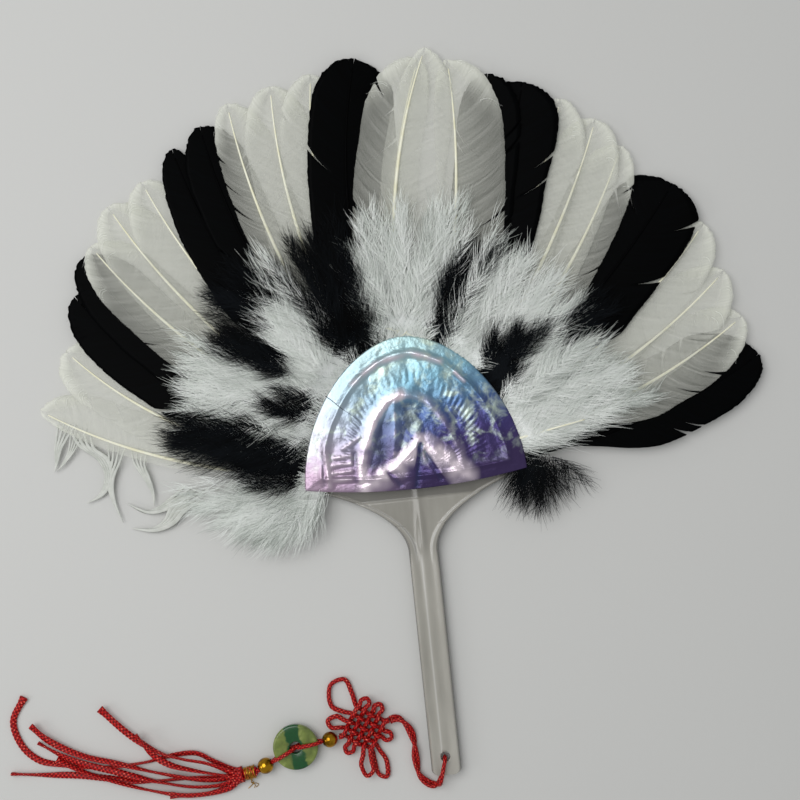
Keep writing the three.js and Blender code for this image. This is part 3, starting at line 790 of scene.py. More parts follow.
@dataclass(frozen=True)
class CardFinish:
    """Coated card or set glue: an even, dull surface with a fine tooth."""

    name: str
    pale: str
    deep: str
    roughness: float
    tooth_mm: float = 0.7

    def build(self) -> Material:
        """Makes the material with a fine tooth in its bump.

        Returns:
            The material.
        """
        material, tree, shader = fresh_material(self.name, {"Roughness": self.roughness})
        spot = add_node(tree, "TexCoord").outputs["Object"]
        tooth = add_node(tree, "TexNoise", {"Vector": spot},
                         {"Scale": 1 / (self.tooth_mm * MM), "Detail": 5.0})
        tint = add_node(tree, "ValToRGB", {"Fac": tooth}, stops=((0.3, self.deep), (0.7, self.pale)))
        bump = add_node(tree, "Bump", {"Height": tooth}, {"Strength": 0.2, "Distance": 0.05 * MM})
        wire(shader, {"Base Color": tint, "Normal": bump})
        return material


# Forms shared by several pieces


@dataclass(frozen=True)
class HeadForm:
    """Plan of the half-moon head, in millimetres from the middle of its lower edge."""

    half_width: float = 49.5
    height: float = 64.0
    power: float = 1.8
    bow: float = 4.3
    arch_share: float = 0.72

    def radius(self, angle: float) -> float:
        """Gives the distance to the arched edge.

        Args:
            angle: the direction, in radians.

        Returns:
            The distance in millimetres.
        """
        across = (abs(math.cos(angle)) / self.half_width) ** self.power
        rise = (abs(math.sin(angle)) / self.height) ** self.power
        return (across + rise) ** (-1 / self.power)

    def foot(self, x: float) -> float:
        """Gives how far the lower edge bows down at a place across."""
        return self.bow * (1 - (x / self.half_width) ** 2)

    def edge(self, share: float, inset: float = 0.0) -> Vector:
        """Gives a point of the outline.

        Args:
            share: 0 to 1 once round, from the right corner over the top, then back along the foot.
            inset: how far inside the outline, in millimetres.

        Returns:
            The point, with a z of 0.
        """
        if share <= self.arch_share:
            angle = math.pi * share / self.arch_share
            reach = self.radius(angle) - inset
            return Vector((reach * math.cos(angle), reach * math.sin(angle), 0))
        half = self.half_width - inset
        x = mix(-half, half, (share - self.arch_share) / (1 - self.arch_share))
        return Vector((x, -(self.bow - inset) * (1 - (x / half) ** 2), 0))


HEAD = HeadForm()


def polar(angle: float, reach: float) -> Vector:
    """Gives a point in millimetres from an angle in degrees and a reach."""
    turn = math.radians(angle)
    return Vector((reach * math.cos(turn), reach * math.sin(turn), 0))


# Studio


@dataclass(frozen=True)
class Lamp:
    """A round soft lamp: its place and width in metres, and its watts."""

    name: str
    spot: Spot
    size: float
    watts: float


@dataclass
class Studio:
    """Pale table, soft light from the upper left and a camera straight above."""

    look_at: Point = (-3.5, 35.7)
    turn_deg: float = -6.0
    camera_height: float = 620.0
    frame_mm: float = 360.0
    sensor_mm: float = 36.0
    table: str = "#d2d2cf"
    table_half: float = 3000.0
    table_drop: float = 0.1
    tooth_mm: float = 10 / 3
    sky: tuple[float, float, float, float] = (0.97, 0.985, 1.0, 1.0)
    sky_strength: float = 0.4
    lit_at: Spot = (0.0, 0.04, 0.0)
    lamps: tuple[Lamp, ...] = (
        Lamp("key", (-0.5, 0.3, 1.15), 1.1, 8.2),
        Lamp("side", (-0.9, -0.2, 0.5), 0.35, 0.8),
    )

    def build(self) -> None:
        """Makes the camera, the table and the lights."""
        scene = bpy.context.scene
        scene.view_settings.view_transform = "Standard"
        camera = linked("camera", bpy.data.cameras.new("camera"))
        camera.data.sensor_width = self.sensor_mm
        camera.data.lens = self.sensor_mm * self.camera_height / self.frame_mm
        camera.location = (self.look_at[0] * MM, self.look_at[1] * MM, self.camera_height * MM)
        camera.rotation_euler = (0, 0, math.radians(self.turn_deg))
        scene.camera = camera
        self.lay_table()
        self.light()

    def lay_table(self) -> None:
        """Lays the pale table under the fan."""
        sockets = {"Base Color": linear(self.table), "Roughness": 0.6}
        material, tree, shader = fresh_material("painted_board", sockets)
        spot = add_node(tree, "TexCoord").outputs["Object"]
        tooth = add_node(tree, "TexNoise", {"Vector": spot},
                         {"Scale": 1 / (self.tooth_mm * MM), "Detail": 2.0})
        wire(shader, {"Normal": add_node(tree, "Bump", {"Height": tooth}, {"Strength": 0.05})})
        bm = bmesh.new()
        bmesh.ops.create_grid(bm, x_segments=1, y_segments=1, size=self.table_half * MM)
        bmesh.ops.translate(bm, verts=bm.verts[:], vec=(0, 0, -self.table_drop * MM))
        table = linked("table", mesh_of(bm, "table"))
        table.data.materials.append(material)

    def light(self) -> None:
        """Hangs a large soft lamp and a small one at the left, with an even fill from the world."""
        world = bpy.data.worlds.new("studio")
        world.use_nodes = True
        back = world.node_tree.nodes["Background"]
        back.inputs["Color"].default_value = self.sky
        back.inputs["Strength"].default_value = self.sky_strength
        bpy.context.scene.world = world
        for lamp in self.lamps:
            hung = linked(lamp.name, bpy.data.lights.new(lamp.name, "AREA"))
            hung.data.shape = "DISK"
            hung.data.size = lamp.size
            hung.data.energy = lamp.watts
            hung.location = lamp.spot
            aim = Vector(self.lit_at) - Vector(lamp.spot)
            hung.rotation_euler = aim.to_track_quat("-Z", "Y").to_euler()


# Pendant


@dataclass(frozen=True)
class Braid:
    """A braided cord: half its width and thickness in millimetres, its turns and what it ends in."""

    wide: float
    flat: float
    turns: float
    far_end: str
    fray: bool = False


# The loop through the handle's hole: how far out and how high each place of it is
LOOP = ((12.9, 5.2), (10.8, 7.6), (6, 7.75), (3.4, 7.8), (1.5, 7.3), (0.7, 6), (0.6, 4.3), (0.7, 2.7),
        (1.5, 1.4), (3.4, 1.1), (7, 1.1), (11, 1.15))
# The places that the twisted pair passes between the knot and the hole
PAIR = ((-15.2, -110.5, 2.0), (-13.2, -117.5, 1.95), (-13.2, -125, 1.9), (-12.2, -132.6, 1.9),
        (-7.6, -137.2, 1.9))
# The ears of the knot's strands: lean, reach, half width and height
EARS = {
    "a": ((-0.35, 15, 6.6, -1.35), (0, 6, 2, 0), (0.25, 9, 2.8, 0), (0.8, 12, 3.6, -1.35)),
    "b": ((-0.5, 11, 3, 1.35), (0, 6, 2, 0), (0, 6, 2, 0), (-0.1, 6, 2, 1.35)),
}
# An ear's own curve: shares of its reach and of its half width
EAR_CURVE = ((0.32, -0.7), (0.7, -1), (1, 0), (0.7, 1), (0.32, 0.7))
# The core of the binding: its radius from its upper end to its lower one
CORE = (1.1, 1.7, 2.0, 2.3, 2.45, 2.5, 2.45, 2.4, 2.35, 2.4, 2.45, 2.5, 2.45, 2.35, 2.1)
# The tassel's strands: layer at the binding, place across it, layer at rest and route
STRANDS = (
    (0, -1, 0, ((-103.6, -117), (-111.2, -112.6), (-122, -112.4), (-133.7, -114.2), (-154.6, -114.5),
                (-172.2, -111.3), (-181.6, -108.3), (-188.5, -101.3), (-191.4, -89.9), (-185.5, -79.5))),
    (0, 0, 0, ((-102, -124.3), (-114, -123.4), (-126.5, -123.2), (-138.9, -122.4), (-152, -119.6),
               (-164.4, -117), (-180, -115.2), (-194.6, -113.2))),
    (0, 1, 0, ((-97, -128.2), (-105, -130.4), (-114, -131.2), (-124.6, -130.2))),
    (1, -1, 1, ((-98, -124.4), (-107.7, -124.6), (-129, -119), (-147.6, -112.6), (-160, -108.6),
                (-170, -103.6), (-178, -98), (-183.4, -92.2))),
    (1, 0, 1, ((-98, -126.9), (-112, -127.2), (-130, -122.8), (-148, -116.4), (-162, -111.4),
               (-171, -106.8), (-180.7, -100.1))),
    (1, 1, 1, ((-98, -129.4), (-116, -130.6), (-134, -126.2), (-150, -120.2), (-162, -115),
               (-173.2, -108.4))),
    (2, -0.5, 1, ((-98, -120.6), (-106.5, -116.6), (-117, -113.8), (-126, -110.6), (-134, -105.6),
                  (-142, -98.6), (-151.8, -87.8))),
    (2, 0.5, 2, ((-99, -123), (-113, -119), (-123, -115.4), (-130.5, -109.6), (-136.5, -100.5))),
)


@dataclass
class Pendant:
    """Red cord through the handle's hole, endless knot, beads, disc and tassel."""

    hole_y: float = -124.5
    pull: Spot = (-0.287, -0.958, 0.0)
    loop_cord: Braid = Braid(0.95, 0.82, 3.0, "knot")
    loop_turns: float = 1.75
    loop_apart: float = 0.9
    knot_cord: Braid = Braid(1.08, 0.95, 4.0, "object")
    knot: Point = (-35.0, -109.0)
    knot_turn: float = 12.5
    knot_z: float = 2.6
    knot_lines: int = 5
    pitch: float = 3.5
    rise: float = 1.5
    end_sink: float = 1.2
    disc_cord: Braid = Braid(0.98, 0.85, 1.0, "object")
    disc: Point = (-66.1, -113.7)
    disc_z: float = 3.75
    disc_radius: float = 10.15
    disc_bore: float = 2.6
    disc_thick: float = 3.2
    disc_round: float = 1.0
    bore_round: float = 0.45
    bead_radius: float = 3.5
    bead_bore: float = 1.45
    bead_rows: int = 24
    upper_step: float = 15.6
    lower_step: float = 15.9
    pivot: Point = (-84.3, -122.6)
    wrap_way: Point = (-0.985, -0.17)
    wrap_from: float = 0.8
    wrap_length: float = 5.6
    wrap_z: float = 2.95
    wrap_radius: float = 2.5
    wrap_wide: float = 1.1
    wrap_turns: int = 11
    turn_steps: int = 20
    layers: Spot = (0.95, 2.95, 4.95)
    cord_step: float = 0.5
    plait_rise: float = 0.09
    fray_length: float = 4.0
    fray_swell: float = 0.3
    finish: CordFinish = CordFinish()

    def __post_init__(self) -> None:
        """Works out the knot's directions and the beads' places."""
        turn = math.radians(self.knot_turn)
        self.to_right = Vector((math.cos(turn), math.sin(turn), 0))
        to_top = Vector((-math.sin(turn), math.cos(turn), 0))
        self.way_one = (to_top - self.to_right) / math.sqrt(2)
        self.way_two = -(to_top + self.to_right) / math.sqrt(2)
        self.knot_at = Vector((*self.knot, self.knot_z))
        self.disc_at = Vector((*self.disc, self.disc_z))
        corner = 2 * math.sqrt(2) * self.pitch
        self.knot_right = self.knot_at + self.to_right * (corner + 2.4)
        start = self.knot_at - self.to_right * (corner + 2.3)
        cord_start = Vector((start.x, start.y, self.disc_z))
        self.tassel_at = Vector((*self.pivot, self.disc_z))
        self.to_start = (cord_start - self.disc_at).normalized()
        self.to_tassel = (self.tassel_at - self.disc_at).normalized()

    def build(self) -> None:
        """Builds the pendant from the hole to the strand ends."""
        self.satin = self.finish.build()
        self.hang_loop()
        for letter in EARS:
            self.knot_strand(letter)
        self.disc_cords()
        self.beads()
        self.jade()
        self.binding()
        self.strands()

    def braid(self, path: list[Vector], name: str, body: str, cord: Braid) -> Object:
        """Sweeps a cord whose plaits stand out of its surface.

        Args:
            path: the centre line, in millimetres.
            name: the piece's name.
            body: the CAD body that it rides on.
            cord: its sizes.

        Returns:
            The cord.
        """
        line = [p * MM for p in path]
        last = len(path) - 1
        far = path_length(path)

        def section(i: int, angle: float) -> Point:
            """Gives the braided outline.

            Args:
                i: the step along the cord.
                angle: the direction round it.

            Returns:
                The offset sideways and up, in metres.
            """
            along = far * i / last
            wave = math.cos(2 * math.pi * along / self.finish.plait_mm)
            swell = 1 + self.plait_rise * (math.cos(self.finish.columns * angle) * wave)
            if cord.fray:
                swell *= 1 + self.fray_swell * smooth_step(along, far - self.fray_length, far)
            roll = 2 * math.pi * cord.turns * i / last + 0.25 * math.sin(along / 7)
            a = cord.wide * swell * math.cos(angle)
            b = cord.flat * swell * math.sin(angle)
            aside = a * math.cos(roll) - b * math.sin(roll)
            return MM * aside, MM * (a * math.sin(roll) + b * math.cos(roll))

        piece = shown(sweep(line, section, 12), name, body, self.satin)
        tuple(line[0])
        path_length(line)
        [tuple(p) for p in line]
        return piece

    def hang_loop(self) -> None:
        """Runs one cord from the knot to the hole and back, twisted together beside the handle."""
        pull = Vector(self.pull)
        hole = Vector((0, self.hole_y, 0))
        through = [hole + pull * out + UP * z for out, z in LOOP]
        near_knot = self.knot_right + Vector((3.4, 0.4, -0.3))
        near_hole = hole + pull * 13.6 + UP * 2.0
        pair = curve_points([self.knot_right, near_knot, *(Vector(spot) for spot in PAIR), near_hole], 2.0)
        last = len(pair) - 1
        legs: list[list[Vector]] = [[], []]
        for i, spot in enumerate(pair):
            way = (pair[min(i + 1, last)] - pair[max(i - 1, 0)]).normalized()
            side = way.cross(UP).normalized()
            for leg, points in enumerate(legs):
                turn = 2 * math.pi * (self.loop_turns * (i / last) + 0.5 * leg)
                points.append(spot + self.loop_apart * (side * math.cos(turn) + UP * math.sin(turn)))
        path = curve_points([*legs[0][:-1], *through, *reversed(legs[1][:-1])], self.cord_step)
        piece = self.braid(path, "hang_loop_cord", "hanger", self.loop_cord)
        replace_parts(piece, "hang_loop")

    def knot_strand(self, letter: str) -> None:
        """Weaves one strand of the knot over its lines, with an ear after each but the last.

        Args:
            letter: the strand's letter.
        """
        first = letter == "a"
        sign = 1 if first else -1
        span = 2 * self.pitch
        last = self.knot_lines - 1

        def spot(along: float, line: float, z: float) -> Vector:
            """Gives a point of the lattice."""
            one, two = (along, line) if first else (line, along)
            return self.knot_at + self.way_one * one + self.way_two * two + UP * z

        corner = span * math.sqrt(2)
        sunk = UP * (sign * self.end_sink)
        points = [self.knot_at + self.to_right * (corner + 2) - sunk]
        for line in range(self.knot_lines):
            across = -span + line * self.pitch
            forward = line % 2 == 0
            for step in range(self.knot_lines):
                cross = step if forward else last - step
                at_corner = line % last == 0 and cross % last == 0
                over = sign if (line + cross) % 2 == int(at_corner) else -sign
                points.append(spot(-span + cross * self.pitch, across, over * self.rise))
            if line < last:
                lean, reach, swell, z = EARS[letter][line]
                away = 1 if forward else -1
                middle = across + self.pitch / 2
                for out, side in EAR_CURVE:
                    aside = middle + lean * out * reach + side * swell
                    points.append(spot(away * (span + reach * out), aside, z))
        points.append(self.knot_at - self.to_right * (corner + 1.6) - sunk)
        path = curve_points(points, self.cord_step)
        piece = self.braid(path, f"knot_cord_{letter}", "hanger", self.knot_cord)
        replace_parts(piece, f"knot_strand_{letter}")

    def disc_cords(self) -> None:
        """Runs two cords through the beads, so that they cross in the disc's hole."""
        high = self.disc_thick / 2 + 1.25
        lift = ((19, 0.55), (13.6, 0.5), (12.2, 0.8), (10.9, 1.8), (9, high), (3.6, high), (1.3, 1.9))
        pieces = []
        for letter, sign in (("a", 1), ("b", -1)):
            points = [self.disc_at + self.to_start * out + UP * (sign * z) for out, z in lift]
            points.append(self.disc_at.copy())
            points += [self.disc_at + self.to_tassel * out - UP * (sign * z) for out, z in reversed(lift)]
            points.append(self.tassel_at + self.to_tassel * 0.5 - UP * (0.2 + sign * 0.5))
            path = curve_points(points, self.cord_step)
            pieces.append(self.braid(path, f"disc_cord_{letter}", "disc_section", self.disc_cord))
        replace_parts(pieces[0], "disc_cord")

    def beads(self) -> None:
        """Spins the two gold beads about the cord."""
        gold = MetalFinish("bright_gold_plate", "#b98a24", "#6e4a0c", 0.14, 3.0).build()
        for name, step, way, radius in (
            ("upper_bead", self.upper_step, self.to_start, self.bead_radius),
            ("lower_bead", self.lower_step, self.to_tassel, self.bead_radius + 0.1),
        ):
            bm = bmesh.new()
            bm.loops.layers.uv.new("UVMap")
            opening = math.asin(self.bead_bore / radius)
            ring: list[BMVert] = []
            for i in range(self.bead_rows + 1):
                turn = mix(opening, math.pi - opening, i / self.bead_rows)
                ring.append(bm.verts.new((radius * math.sin(turn), 0, radius * math.cos(turn))))
            for a, b in zip(ring, [*ring[1:], ring[0]]):
                bm.edges.new((a, b))
            turned(bm, 48, self.disc_at + way * step, way.to_track_quat("Z", "Y").to_matrix().to_4x4())
            piece = shown(bm, f"{name}_gold", name, gold)
            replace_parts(piece, name)

    def jade(self) -> None:
        """Spins the disc with rounded edges and eases its hole."""
        bm = bmesh.new()
        half = self.disc_thick / 2
        bore, radius = self.disc_bore, self.disc_radius
        profile = ((bore, -half), (radius, -half), (radius, half), (bore, half))
        corners = [bm.verts.new((x, 0, z)) for x, z in profile]
        bm.faces.new(corners)
        bmesh.ops.bevel(bm, geom=corners[1:3], offset=self.disc_round, segments=5, profile=0.5,
                        affect="VERTICES", material=-1)
        bm.verts.ensure_lookup_table()
        rims = [vert for vert in bm.verts if vert.co.x < bore + 0.01]
        bmesh.ops.bevel(bm, geom=rims, offset=self.bore_round, segments=3, profile=0.5,
                        affect="VERTICES", material=-1)
        bmesh.ops.delete(bm, geom=bm.faces[:], context="FACES_ONLY")
        turned(bm, 72, self.disc_at, Matrix.Identity(4))
        stone = JadeFinish("clouded_serpentine", self.disc).build()
        piece = shown(bm, "jade_disc_polished", "disc", stone)
        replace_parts(piece, "jade_disc")

    def wrap_point(self, along: float, side: float, z: float) -> Vector:
        """Gives a point in the binding's own directions.

        Args:
            along: how far down the tassel.
            side: how far across it.
            z: the height.

        Returns:
            The point in millimetres.
        """
        way = Vector((*self.wrap_way, 0)).normalized()
        spot = Vector((*self.pivot, 0)) + way * (self.wrap_from + along)
        return spot + Vector((-way.y, way.x, 0)) * side + UP * z

    def binding(self) -> None:
        """Winds gold thread round a swelling core and leaves three loose ends."""
        rng = random.Random(41)
        thread = MetalFinish("gold_foil_thread", "#d0a03a", "#8a5f16", 0.32, 0.8).build()
        core = [self.wrap_point(self.wrap_length * i / 12, 0, self.wrap_z) * MM for i in range(-2, 13)]
        swollen = sweep(core, oval(lambda i: CORE[i], self.wrap_wide, 1.0), 24)
        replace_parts(shown(swollen, "binding_core", "tassel", self.satin), "tassel_wrap")
        steps = self.wrap_turns * self.turn_steps
        coil = []
        for i in range(steps + 1):
            angle = 2 * math.pi * i / self.turn_steps
            share = i / steps
            radius = self.wrap_radius + 0.12 * math.sin(7 * share * math.pi) + 0.06 * math.sin(angle * 0.37)
            along = self.wrap_length * (0.06 + 0.86 * share) + 0.22 * math.sin(angle * 1.3 + share * 9)
            side = self.wrap_wide * radius * math.cos(angle)
            coil.append(self.wrap_point(along, side, self.wrap_z + radius * math.sin(angle)) * MM)
        wound = sweep(coil, oval(lambda i: 1.0, 0.27, 0.2), 6)
        shown(wound, "binding_thread", "tassel", thread)
        for k in range(1, 4):
            start = self.wrap_point(rng.uniform(1.5, 4), 2.4, 2.2)
            points = [start]
            for step in range(1, 5):
                drop = Vector((rng.uniform(-0.6, 0.9) * step, -1.3 * step, max(-1.9, -0.7 * step)))
                points.append(start + drop)
            tail = sweep([p * MM for p in curve_points(points, 0.4)], oval(lambda i: 1.0, 0.16, 0.16), 5)
            shown(tail, f"binding_tail_{k}", "tassel", thread)

    def strands(self) -> None:
        """Lays the eight loose strands, each a flat braid that rolls over as it goes."""
        for number, (layer, slot, rest, route) in enumerate(STRANDS, 1):
            z, end_z = self.layers[layer], self.layers[rest]
            points = [self.wrap_point(self.wrap_length + 0.3, 2 * slot, z),
                      self.wrap_point(self.wrap_length + 3, 2.1 * slot, z)]
            points += [Vector((x, y, mix(z, end_z, smooth_step(i, 1, 4)))) for i, (x, y) in enumerate(route)]
            path = curve_points(points, self.cord_step)
            cord = Braid(1.45, 0.62, 0.4 + 0.15 * (number % 3), "bare", True)
            piece = self.braid(path, f"tassel_strand_{number:02d}", "tassel", cord)
            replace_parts(piece, f"strand_{number:02d}")


# Handle and head


@dataclass
class Handle:
    """Frosted moulding: fluted bar with a cord hole, trumpet neck with raised edges, and the head plate."""

    bar_half: float = 6.65
    bar_end: float = -132.8
    bar_drop: float = 0.1
    bar_crown: float = 0.25
    bar_from: Point = (27.0, 37.0)
    corner: float = 2.4
    back: float = 2.5
    front: float = 6.1
    flute_deep: float = 0.42
    flute_span: float = 5.4
    panel: float = 4.3
    rib: float = 3.2
    rib_tall: float = 1.65
    rib_soft: float = 0.5
    crease_tall: Point = (0.35, 1.55)
    crease_half: Point = (1.3, 2.0)
    step_tall: float = 0.45
    step_from: Point = (8.2, 9.4)
    edge_round: Point = (-0.05, 1.15)
    edge_wall: float = 0.9
    chamfer: float = 0.35
    neck_foot: float = -34.0
    neck_top: float = -0.45
    hole_y: float = -124.5
    hole_radius: float = 2.2
    flare: tuple[Point, Point, Point, Point] = ((49.0, -0.4), (28.0, -7.0), (6.65, -18.0), (6.65, -33.0))
    columns: int = 120
    plate_sides: int = 96
    plate_inset: float = 1.4
    plate_top: float = 4.1
    plate_thick: float = 1.6
    plate_rim: float = 1.8
    plate_rim_deep: float = 1.4
    sill_half: float = 43.0
    sill_inset: float = 1.9
    sill_z: float = 5.2

    def build(self) -> None:
        """Builds the grip and neck, cuts the hole and adds the head plate and sill."""
        plastic = PlasticFinish().build()
        grip = self.grip(plastic)
        self.plate(plastic)
        self.sill(plastic)
        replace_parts(grip, "handle")

    def neck_half(self, y: float) -> float:
        """Gives half the width at a place along the handle.

        Args:
            y: the place, in millimetres.

        Returns:
            Half the width there.
        """
        if y <= self.flare[3][1]:
            near = y - self.bar_end
            if near >= self.corner:
                return self.bar_half
            bend = math.sqrt(max(0.0, self.corner ** 2 - (self.corner - near) ** 2))
            return self.bar_half - self.corner + bend
        low, high = 0.0, 1.0
        for _ in range(40):
            t = (low + high) / 2
            here = sum(w * p[1] for w, p in zip(self.weights(t), self.flare))
            low, high = (t, high) if here > y else (low, t)
        return sum(w * p[0] for w, p in zip(self.weights(low), self.flare))

    @staticmethod
    def weights(t: float) -> tuple[float, float, float, float]:
        """Gives the weights of a cubic curve's four points."""
        return (1 - t) ** 3, 3 * t * (1 - t) ** 2, 3 * t * t * (1 - t), t ** 3

    def height(self, x: float, y: float, half: float) -> float:
        """Gives the front surface's height.

        Args:
            x: the place across, in millimetres.
            y: the place along.
            half: half the width there.

        Returns:
            The height in millimetres.
        """
        side = abs(x)
        inward = half - side
        flutes = self.flute_deep * (1 - math.cos(2 * math.pi * min(1.0, side / self.flute_span))) / 2
        bar = self.front - self.bar_drop - flutes - self.bar_crown * (side / self.bar_half) ** 2
        inner = smooth_step(inward, self.rib - self.rib_soft, self.rib + self.rib_soft)
        rib = self.rib_tall * (smooth_step(inward, -0.6, 0.9) - inner)
        wide = mix(*self.crease_half, smooth_step(-y, 5, 30))
        crease = mix(*self.crease_tall, smooth_step(-y, 5, 31)) * math.exp(-((side / wide) ** 2))
        step = self.step_tall * smooth_step(-y, *self.step_from)
        level = mix(self.panel + rib + crease + step, bar, smooth_step(-y, *self.bar_from))
        return mix(self.back + self.edge_wall, level, math.sqrt(smooth_step(inward, *self.edge_round)))

    def grip(self, plastic: Material) -> Object:
        """Shapes the bar and neck as one skin, closes its back and cuts the hole.

        Args:
            plastic: its material.

        Returns:
            The piece.
        """
        rows = [self.bar_end + self.corner * (1 - math.cos(math.pi / 2 * i / 10)) for i in range(10)]
        rows += [mix(self.bar_end + self.corner, self.neck_foot, i / 50) for i in range(50)]
        rows += [mix(self.neck_foot, self.neck_top, (i / 60) ** 0.8) for i in range(61)]

        def place(u: float, v: float) -> Vector:
            """Puts a grid point on the front surface, with finer columns toward the edges.

            Args:
                u: from -1 to 1 across.
                v: from -1 to 1 along.

            Returns:
                The point.
            """
            y = rows[round((v + 1) / 2 * (len(rows) - 1))]
            half = max(0.3, self.neck_half(y))
            bend = abs(u) ** 0.8 if half < 12 else 1 - (1 - abs(u)) ** 1.7
            x = half * math.copysign(bend, u)
            return Vector((x, y, self.height(x, y, half))) * MM

        bm = mapped_grid(self.columns, len(rows) - 1, place)
        for z in (self.back + self.chamfer, self.back):
            foot = new_verts(bmesh.ops.extrude_edge_only(bm, edges=open_edges(bm)))
            for vert in foot:
                vert.co.z = z * MM
        for vert in foot:
            if abs(vert.co.x) > MM:
                vert.co.x *= 1 - self.chamfer * MM / abs(vert.co.x)
        fill_in(bm)
        self.paint_shade_and_lit_lines(bm)
        piece = shown(bm, "handle_grip", "fan", plastic)
        self.drill(piece)
        return piece

    def paint_shade_and_lit_lines(self, bm: BMesh) -> None:
        """Marks painted shade, up to 1, and painted highlight lines, as -1.

        Args:
            bm: the grip.
        """
        layer = bm.verts.layers.float.new("wall")
        for vert in bm.verts:
            spot = vert.co / MM
            bar = smooth_step(-spot.y, 27, 40)
            inward = self.neck_half(spot.y) - abs(spot.x)
            # Painted shade along the edges, wider along the right edge of the bar.
            rim = 1 - smooth_step(inward, 0.3, mix(1.8, 0.7 if spot.x > 0 else 0.31, bar))
            # Painted shade over the neck, light on its recessed panel and deep in the band just under the
            # head.
            wall = max(rim, (1 - bar) * (0.2 + 0.6 * smooth_step(spot.y, -8.8, -8.0)))
            # Painted highlight lines along the inner sides of the neck's ribs and, fainter, down the bar just
            # left of its middle.
            line = max((1 - bar) * math.exp(-((inward - self.rib) / 0.6) ** 2),
                       0.45 * bar * math.exp(-((spot.x + 1.3) / 0.4) ** 2))
            vert[layer] = mix(wall, -1.0, line)

    def drill(self, piece: Object) -> None:
        """Cuts the cord hole through the bar, with its mesh applied.

        Args:
            piece: the grip.
        """
        bm = bmesh.new()
        radius = self.hole_radius * MM
        bmesh.ops.create_cone(bm, cap_ends=True, segments=48, radius1=radius, radius2=radius, depth=20 * MM)
        bmesh.ops.translate(bm, verts=bm.verts[:], vec=Vector((0, self.hole_y, 4)) * MM)
        drill = linked("drill", mesh_of(bm, "drill"))
        cut = piece.modifiers.new("hole", "BOOLEAN")
        cut.object = drill
        cut.operation = "DIFFERENCE"
        cut.solver = "EXACT"
        done = final_mesh(piece)
        piece.modifiers.clear()
        piece.data = done
        bpy.data.objects.remove(drill)

    def plate(self, plastic: Material) -> None:
        """Makes the plate behind the feathers, with a rim round its back.

        Args:
            plastic: its material.
        """
        bm = bmesh.new()
        bmesh.ops.create_circle(bm, cap_ends=True, segments=self.plate_sides, radius=1.0)
        bm.verts.ensure_lookup_table()
        for i, vert in enumerate(bm.verts):
            vert.co = (HEAD.edge(i / self.plate_sides, self.plate_inset) + UP * self.plate_top) * MM
        lower = new_verts(bmesh.ops.extrude_face_region(bm, geom=bm.faces[:]))
        bmesh.ops.translate(bm, verts=lower, vec=(0, 0, -self.plate_thick * MM))
        under = min(bm.faces, key=lambda face: face.calc_center_median().z)
        under_z = under.calc_center_median().z
        bmesh.ops.inset_individual(bm, faces=[under], thickness=self.plate_rim * MM, depth=0)
        flat = [face for face in bm.faces if abs(face.calc_center_median().z - under_z) < 1e-6]
        rim = [face for face in flat if face is not under]
        lower = new_verts(bmesh.ops.extrude_face_region(bm, geom=rim))
        bmesh.ops.translate(bm, verts=lower, vec=(0, 0, -self.plate_rim_deep * MM))
        bmesh.ops.recalc_face_normals(bm, faces=bm.faces[:])
        piece = shown(bm, "head_plate", "fan", plastic)
        piece.data.shade_flat()

    def sill(self, plastic: Material) -> None:
        """Makes the wall that closes the head along its lower edge.

        Args:
            plastic: its material.
        """
        path = []
        for i in range(41):
            x = mix(-self.sill_half, self.sill_half, i / 40)
            path.append(Vector((x, self.sill_inset - HEAD.foot(x), self.sill_z)) * MM)

        def section(_: int, angle: float) -> Point:
            """Gives a soft-cornered oblong."""
            c, s = math.cos(angle), math.sin(angle)
            return 1.0 * MM * math.copysign(abs(c) ** 0.35, c), 2.7 * MM * math.copysign(abs(s) ** 0.2, s)

        shown(sweep(path, section, 20), "head_sill", "fan", plastic)


@dataclass(frozen=True)
class Fold:
    """A pressed ridge in millimetres: half its width, its height, its gleam and the line of its crest."""

    half: float
    tall: float
    gleam: float
    crest: tuple[Point, ...]

    def near(self, x: float, y: float) -> float:
        """Gives how near a place is to the crest.

        Args:
            x: the place across.
            y: the place up.

        Returns:
            1 on the crest, 0 off the ridge.
        """
        apart = self.half
        for (x0, y0), (x1, y1) in zip(self.crest, self.crest[1:]):
            run = ((x - x0) * (x1 - x0) + (y - y0) * (y1 - y0)) / ((x1 - x0) ** 2 + (y1 - y0) ** 2)
            run = min(1.0, max(0.0, run))
            apart = min(apart, math.hypot(x - mix(x0, x1, run), y - mix(y0, y1, run)))
        return 1 - apart / self.half


ARCH_LEFT = ((-24, 1), (-23.5, 8), (-21, 16), (-16, 28), (-10, 35), (-3, 38))
ARCH_RIGHT = ((-3, 38), (4, 36.5), (9, 33), (15, 24), (20, 12), (22, 2))
